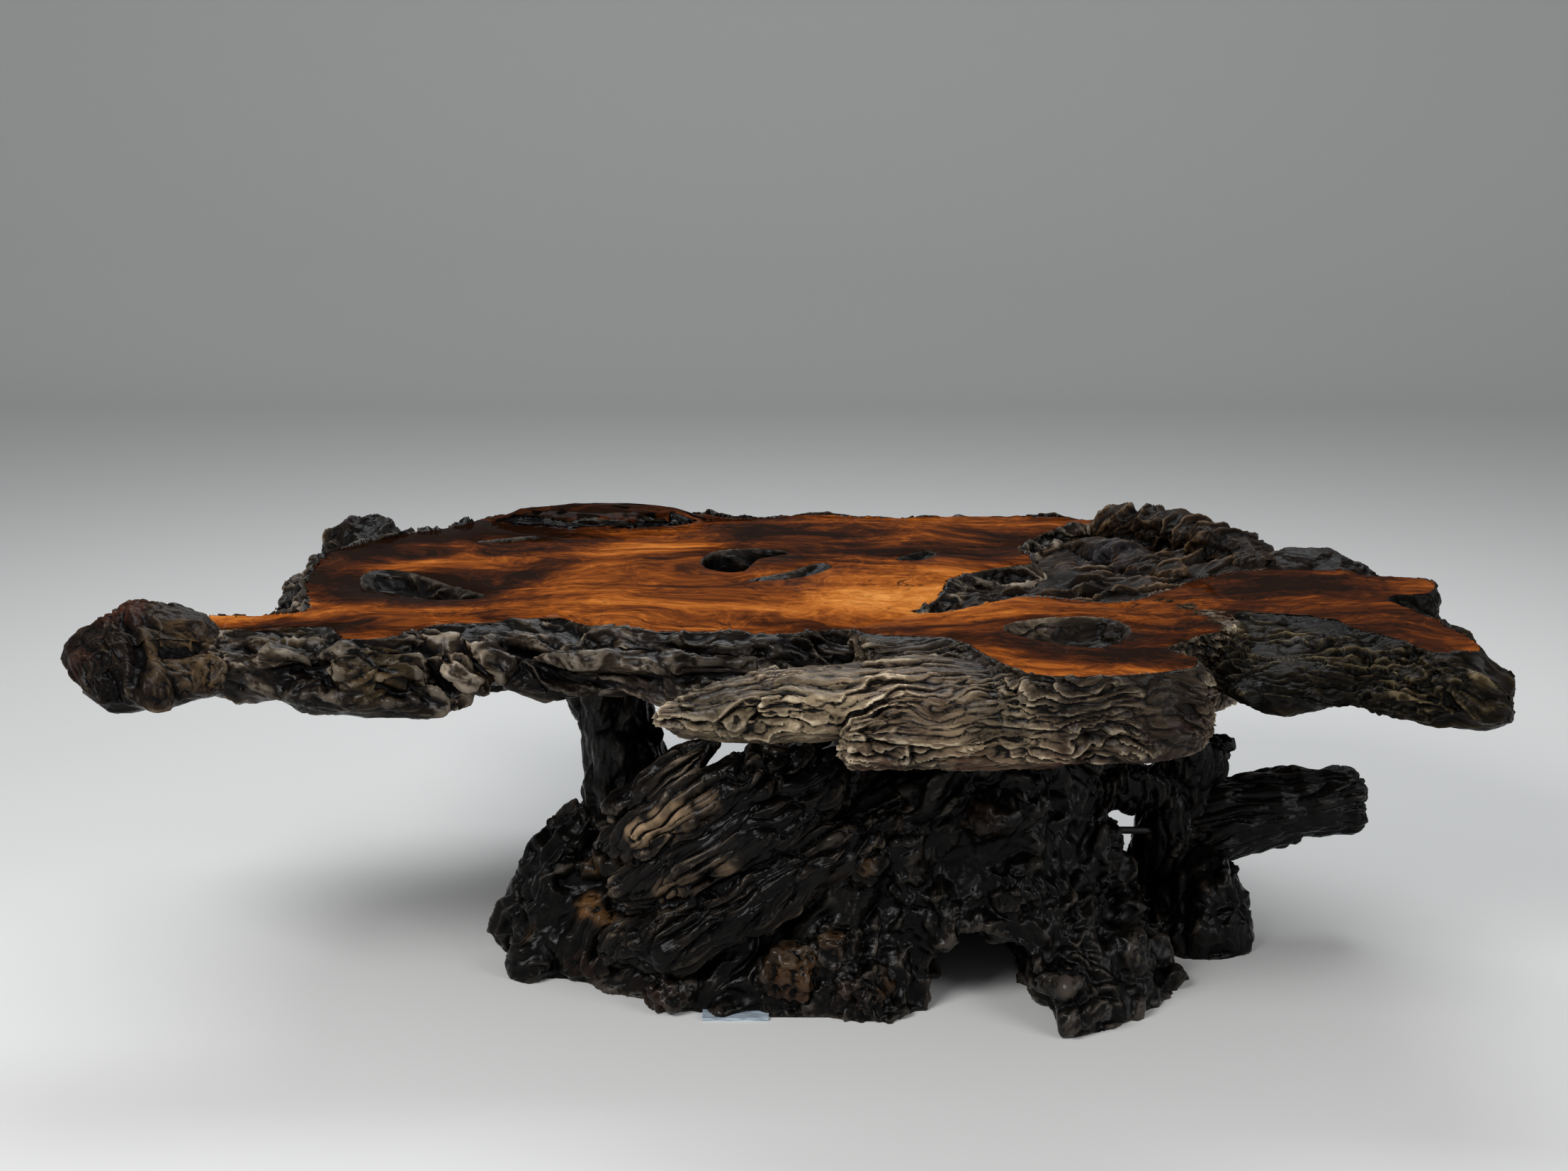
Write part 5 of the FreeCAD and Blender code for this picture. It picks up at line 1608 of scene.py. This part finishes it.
BASE_WOODS = (
    Wood("root_stump", 0.0027, Relief(
        Surface.FLOWING, (0.74, 0.0, 0.67), 0.046, 0.016, 8.0, 0.024, 0.090, 0.011, wander=0.024,
        wander_size=0.11, seed=21),
        Slot.DARK_ROOT, blend=Blend(Relief(
            Surface.WARTY, (0.3, 0.0, 0.9), 0.050, 0.014, 4.0, 0.022, 0.070, 0.010, wander=0.020,
            wander_size=0.07, seed=31), (0.0, 0.0, 0.10), (0.12, 0.0, 0.02)),
        knots=(
            knot(-150, -262, 20, 46, 9, 2), knot(0, -282, 45, 52, 11, 5),
            knot(80, -300, 30, 46, 9, 3), knot(54, -276, 90, 36, 9),
            knot(91, -250, 176, 34, 5), knot(232, -236, 232, 38, 5),
            knot(280, -262, 150, 45, 6), knot(392, -155, 158, 45, 5),
            knot(415, -240, 58, 48, 6), knot(190, -240, 110, 30, 9),
        ),
        stains=spots((54, -281, 92, 18, 0.35), (91, -255, 176, 16, 0.3), (5, -285, 58, 34, 0.45),
                     (232, -240, 240, 18, 0.3), (112, -290, 40, 22, 0.4), (-110, -270, 70, 15, 0.3)),
        rust=spots((-150, -262, 15, 30, 0.6), (0, -285, 40, 30, 0.5), (66, -305, 28, 28, 0.6),
                   (130, -230, 240, 20, 0.4), (232, -240, 232, 26, 0.4), (-190, -230, 20, 20, 0.5)),
        # Painted shade and darker bark on the stump's right side.
        shade_and_dark_bark=spots((320, -210, 220, 160, 0.65), (430, -160, 90, 130, 0.65)),
        neighbours=("front_ledge", "left_toe_root", "left_post", "splinter_roots",
                    "right_post", "rear_root")),
    Wood("left_toe_root", 0.0023, Relief(
        Surface.FLOWING, (0.6, 0.1, 0.5), 0.040, 0.014, 6.0, 0.022, 0.060, 0.012, wander=0.026,
        wander_size=0.07, seed=22),
        Slot.DARK_ROOT,
        strokes=(
            stroke(14, 11, (-275, -152, 136), (-236, -155, 150), (-200, -160, 133)),
            stroke(13, -13, (-280, -160, 118), (-236, -168, 125), (-200, -170, 112)),
            stroke(20, 10, (-246, -172, 97), (-215, -185, 80)),
        ),
        stains=spots((-246, -172, 95, 20, 0.9), (-222, -182, 82, 16, 0.8), (-319, -163, 61, 16, 0.6),
                     (-240, -158, 142, 18, 0.4)),
        rust=spots((-200, -200, 45, 35, 0.5), (-250, -190, 20, 25, 0.5)),
        neighbours=("root_stump", "left_post", "splinter_roots")),
    Wood("left_post", 0.0023, Relief(
        Surface.FLOWING, (0.1, 0.0, 1.0), 0.038, 0.011, 6.0, 0.016, 0.050, 0.008, seed=23),
        Slot.DARK_ROOT, neighbours=("root_stump", "left_toe_root", "splinter_roots", "main_slab")),
    Wood("splinter_roots", 0.0020, Relief(
        Surface.FIBROUS, (0.80, -0.08, 0.60), 0.052, 0.016, 12.0, 0.024, 0.070, 0.006, wander=0.014,
        seed=24),
        Slot.PALE_SPLINTER,
        stains=spots((-180, -240, 212, 22, 0.9), (-150, -245, 225, 22, 0.9), (-120, -250, 240, 20, 0.8),
                     (-95, -258, 255, 18, 0.7), (-144, -256, 139, 22, 0.5), (-110, -265, 160, 20, 0.5),
                     (-71, -278, 183, 18, 0.4)),
        # Painted shade and darker bark on the splinters.
        shade_and_dark_bark=spots((60, -260, 250, 90, 0.9), (0, -270, 200, 80, 0.7), (-160, -270, 60, 70, 0.8),
                   (-60, -280, 110, 70, 0.7)),
        neighbours=("root_stump", "left_toe_root", "left_post")),
    Wood("right_post", 0.0022, Relief(
        Surface.FIBROUS, (0.1, 0.0, 1.0), 0.040, 0.012, 8.0, 0.016, 0.060, 0.006, seed=25),
        Slot.DARK_ROOT, neighbours=("root_stump", "right_branch", "rear_root", "rear_ridge")),
    Wood("right_branch", 0.0020, Relief(
        Surface.FIBROUS, (1.0, 0.0, 0.16), 0.034, 0.011, 12.0, 0.013, 0.060, 0.005, wander=0.008,
        seed=26),
        Slot.DARK_ROOT, neighbours=("right_post",)),
    Wood("rear_root", 0.0023, Relief(
        Surface.WARTY, (0.3, 0.0, 0.9), 0.040, 0.013, 4.0, 0.016, 0.050, 0.009, seed=27),
        Slot.DARK_ROOT, neighbours=("root_stump", "right_post", "right_branch")),
)


@dataclass
class Joinery:
    """Pegs and the levelling slip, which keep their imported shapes.

    Args:
        finishes: where materials come from.
        pegs: nodes of turned pegs.
        slips: nodes of pale slips.
        ties: nodes that show as dark roots.
    """

    finishes: Finishes
    pegs: tuple[str, ...] = ("ledge_dowels", "wing_dowels", "ridge_dowels", "burl_dowels",
                             "root_dowels", "top_pins")
    slips: tuple[str, ...] = ("foot_shim",)
    ties: tuple[str, ...] = ("tie_dowel",)

    def build(self) -> list[bpy.types.Object]:
        """Give each node its material.

        Returns:
            The nodes' objects.
        """
        peg = self.finishes.plain("peg_wood", linear((40, 28, 20)), linear((78, 56, 38)), 0.5)
        slip = self.finishes.plain("shim_slip", linear((104, 116, 128)), linear((168, 180, 190)), 0.45)
        tie = self.finishes.plain("tie_root", linear((14, 12, 11)), linear((32, 26, 21)), 0.4)
        dressed = []
        for nodes, material in ((self.pegs, peg), (self.slips, slip), (self.ties, tie)):
            for node in nodes:
                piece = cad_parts[node]
                piece.data.materials.clear()
                piece.data.materials.append(material)
                dressed.append(piece)
        return dressed


@dataclass(frozen=True)
class Softbox:
    """A soft studio light."""

    name: str
    place: Point
    aim: Point
    wide: float
    high: float
    watts: float
    colour: Colour = (1.0, 1.0, 1.0)

    def build(self) -> None:
        """Put the light in the scene."""
        data = bpy.data.lights.new(self.name, "AREA")
        data.shape = "RECTANGLE"
        data.size = self.wide
        data.size_y = self.high
        data.energy = self.watts
        data.color = self.colour
        lamp = placed(self.name, data)
        lamp.location = self.place
        way = Vector(self.aim) - Vector(self.place)
        lamp.rotation_euler = way.to_track_quat("-Z", "Y").to_euler()


@dataclass
class Studio:
    """The pale floor and backdrop, the lights, the world and the camera.

    Args:
        half_width: half the floor's width.
        front: where the floor starts.
        back: where it starts to bend up.
        bend: radius of that bend.
        bend_steps: strips in it.
        tall: height of the backdrop.
        paper: tint of floor and backdrop.
        sky: strength of the world.
        lens: focal length of the camera, on a 36 mm sensor.
        eye: the camera's place.
        pitch: how far the camera looks down, in degrees.
        softboxes: the lights.
    """

    half_width: float = 9.0
    front: float = -6.0
    back: float = 4.5
    bend: float = 1.6
    bend_steps: int = 16
    tall: float = 5.0
    paper: Colour = (0.62, 0.62, 0.61)
    sky: float = 0.31
    lens: float = 52.06
    eye: Point = (-0.006, -2.77, 1.10)
    pitch: float = 13.1
    softboxes: tuple[Softbox, ...] = (
        Softbox("key_light", (-1.7, -2.3, 2.5), (0.0, -0.1, 0.3), 1.7, 1.1, 98.0),
        Softbox("fill_light", (2.6, -2.2, 1.7), (0.1, -0.1, 0.2), 1.6, 1.6, 46.0),
        Softbox("top_light", (0.2, 1.5, 2.8), (0.0, 0.0, 0.4), 2.6, 1.2, 60.0, (0.94, 0.97, 1.0)),
    )

    def build(self) -> None:
        """Build the whole studio."""
        self.sweep()
        self.world()
        self.camera()
        for box in self.softboxes:
            box.build()

    def sweep(self) -> None:
        """A pale floor that sweeps up into a pale backdrop."""
        line = [(self.front, 0.0), (self.back, 0.0)]
        for step in range(1, self.bend_steps + 1):
            angle = math.pi / 2 * step / self.bend_steps
            line.append((self.back + self.bend * math.sin(angle), self.bend * (1 - math.cos(angle))))
        line.append((self.back + self.bend, self.tall))
        corners = [(side * self.half_width, y, z) for y, z in line for side in (-1, 1)]
        faces = [(2 * i, 2 * i + 1, 2 * i + 3, 2 * i + 2) for i in range(len(line) - 1)]
        mesh = bpy.data.meshes.new("studio_floor")
        mesh.from_pydata(corners, [], faces)
        mesh.polygons.foreach_set("use_smooth", [True] * len(faces))
        material = bpy.data.materials.new("studio_paper")
        material.use_nodes = True
        shader = material.node_tree.nodes["Principled BSDF"]
        shader.inputs["Base Color"].default_value = (*self.paper, 1.0)
        shader.inputs["Roughness"].default_value = 0.75
        mesh.materials.append(material)
        placed("studio_floor", mesh)

    def world(self) -> None:
        """An even pale sky."""
        world = bpy.data.worlds.new("studio")
        world.use_nodes = True
        sky = world.node_tree.nodes["Background"]
        sky.inputs["Color"].default_value = (0.90, 0.92, 0.95, 1.0)
        sky.inputs["Strength"].default_value = self.sky
        bpy.context.scene.world = world

    def camera(self) -> None:
        """The camera, at the photograph's viewing angle."""
        data = bpy.data.cameras.new("camera")
        data.lens = self.lens
        data.sensor_width = SENSOR_WIDTH
        camera = placed("camera", data)
        camera.location = self.eye
        camera.rotation_euler = (math.radians(90.0 - self.pitch), 0.0, 0.0)
        bpy.context.scene.camera = camera


def main() -> None:
    """Build the table's sub-assemblies in order, report their pieces and build the studio."""
    logging.basicConfig(level=logging.INFO)
    bpy.context.scene.view_settings.view_transform = "Standard"
    finishes = Finishes()
    groups = (CarvedTop(finishes, TOP_WOODS), RootBase(finishes, BASE_WOODS), Joinery(finishes))
    for group in groups:
        for piece in group.build():
            finish = piece.data.materials[0].name
            LOG.info("%s: %d faces, %s", piece.name, len(piece.data.polygons), finish)
    Studio().build()


if __name__ == "__main__":
    main()
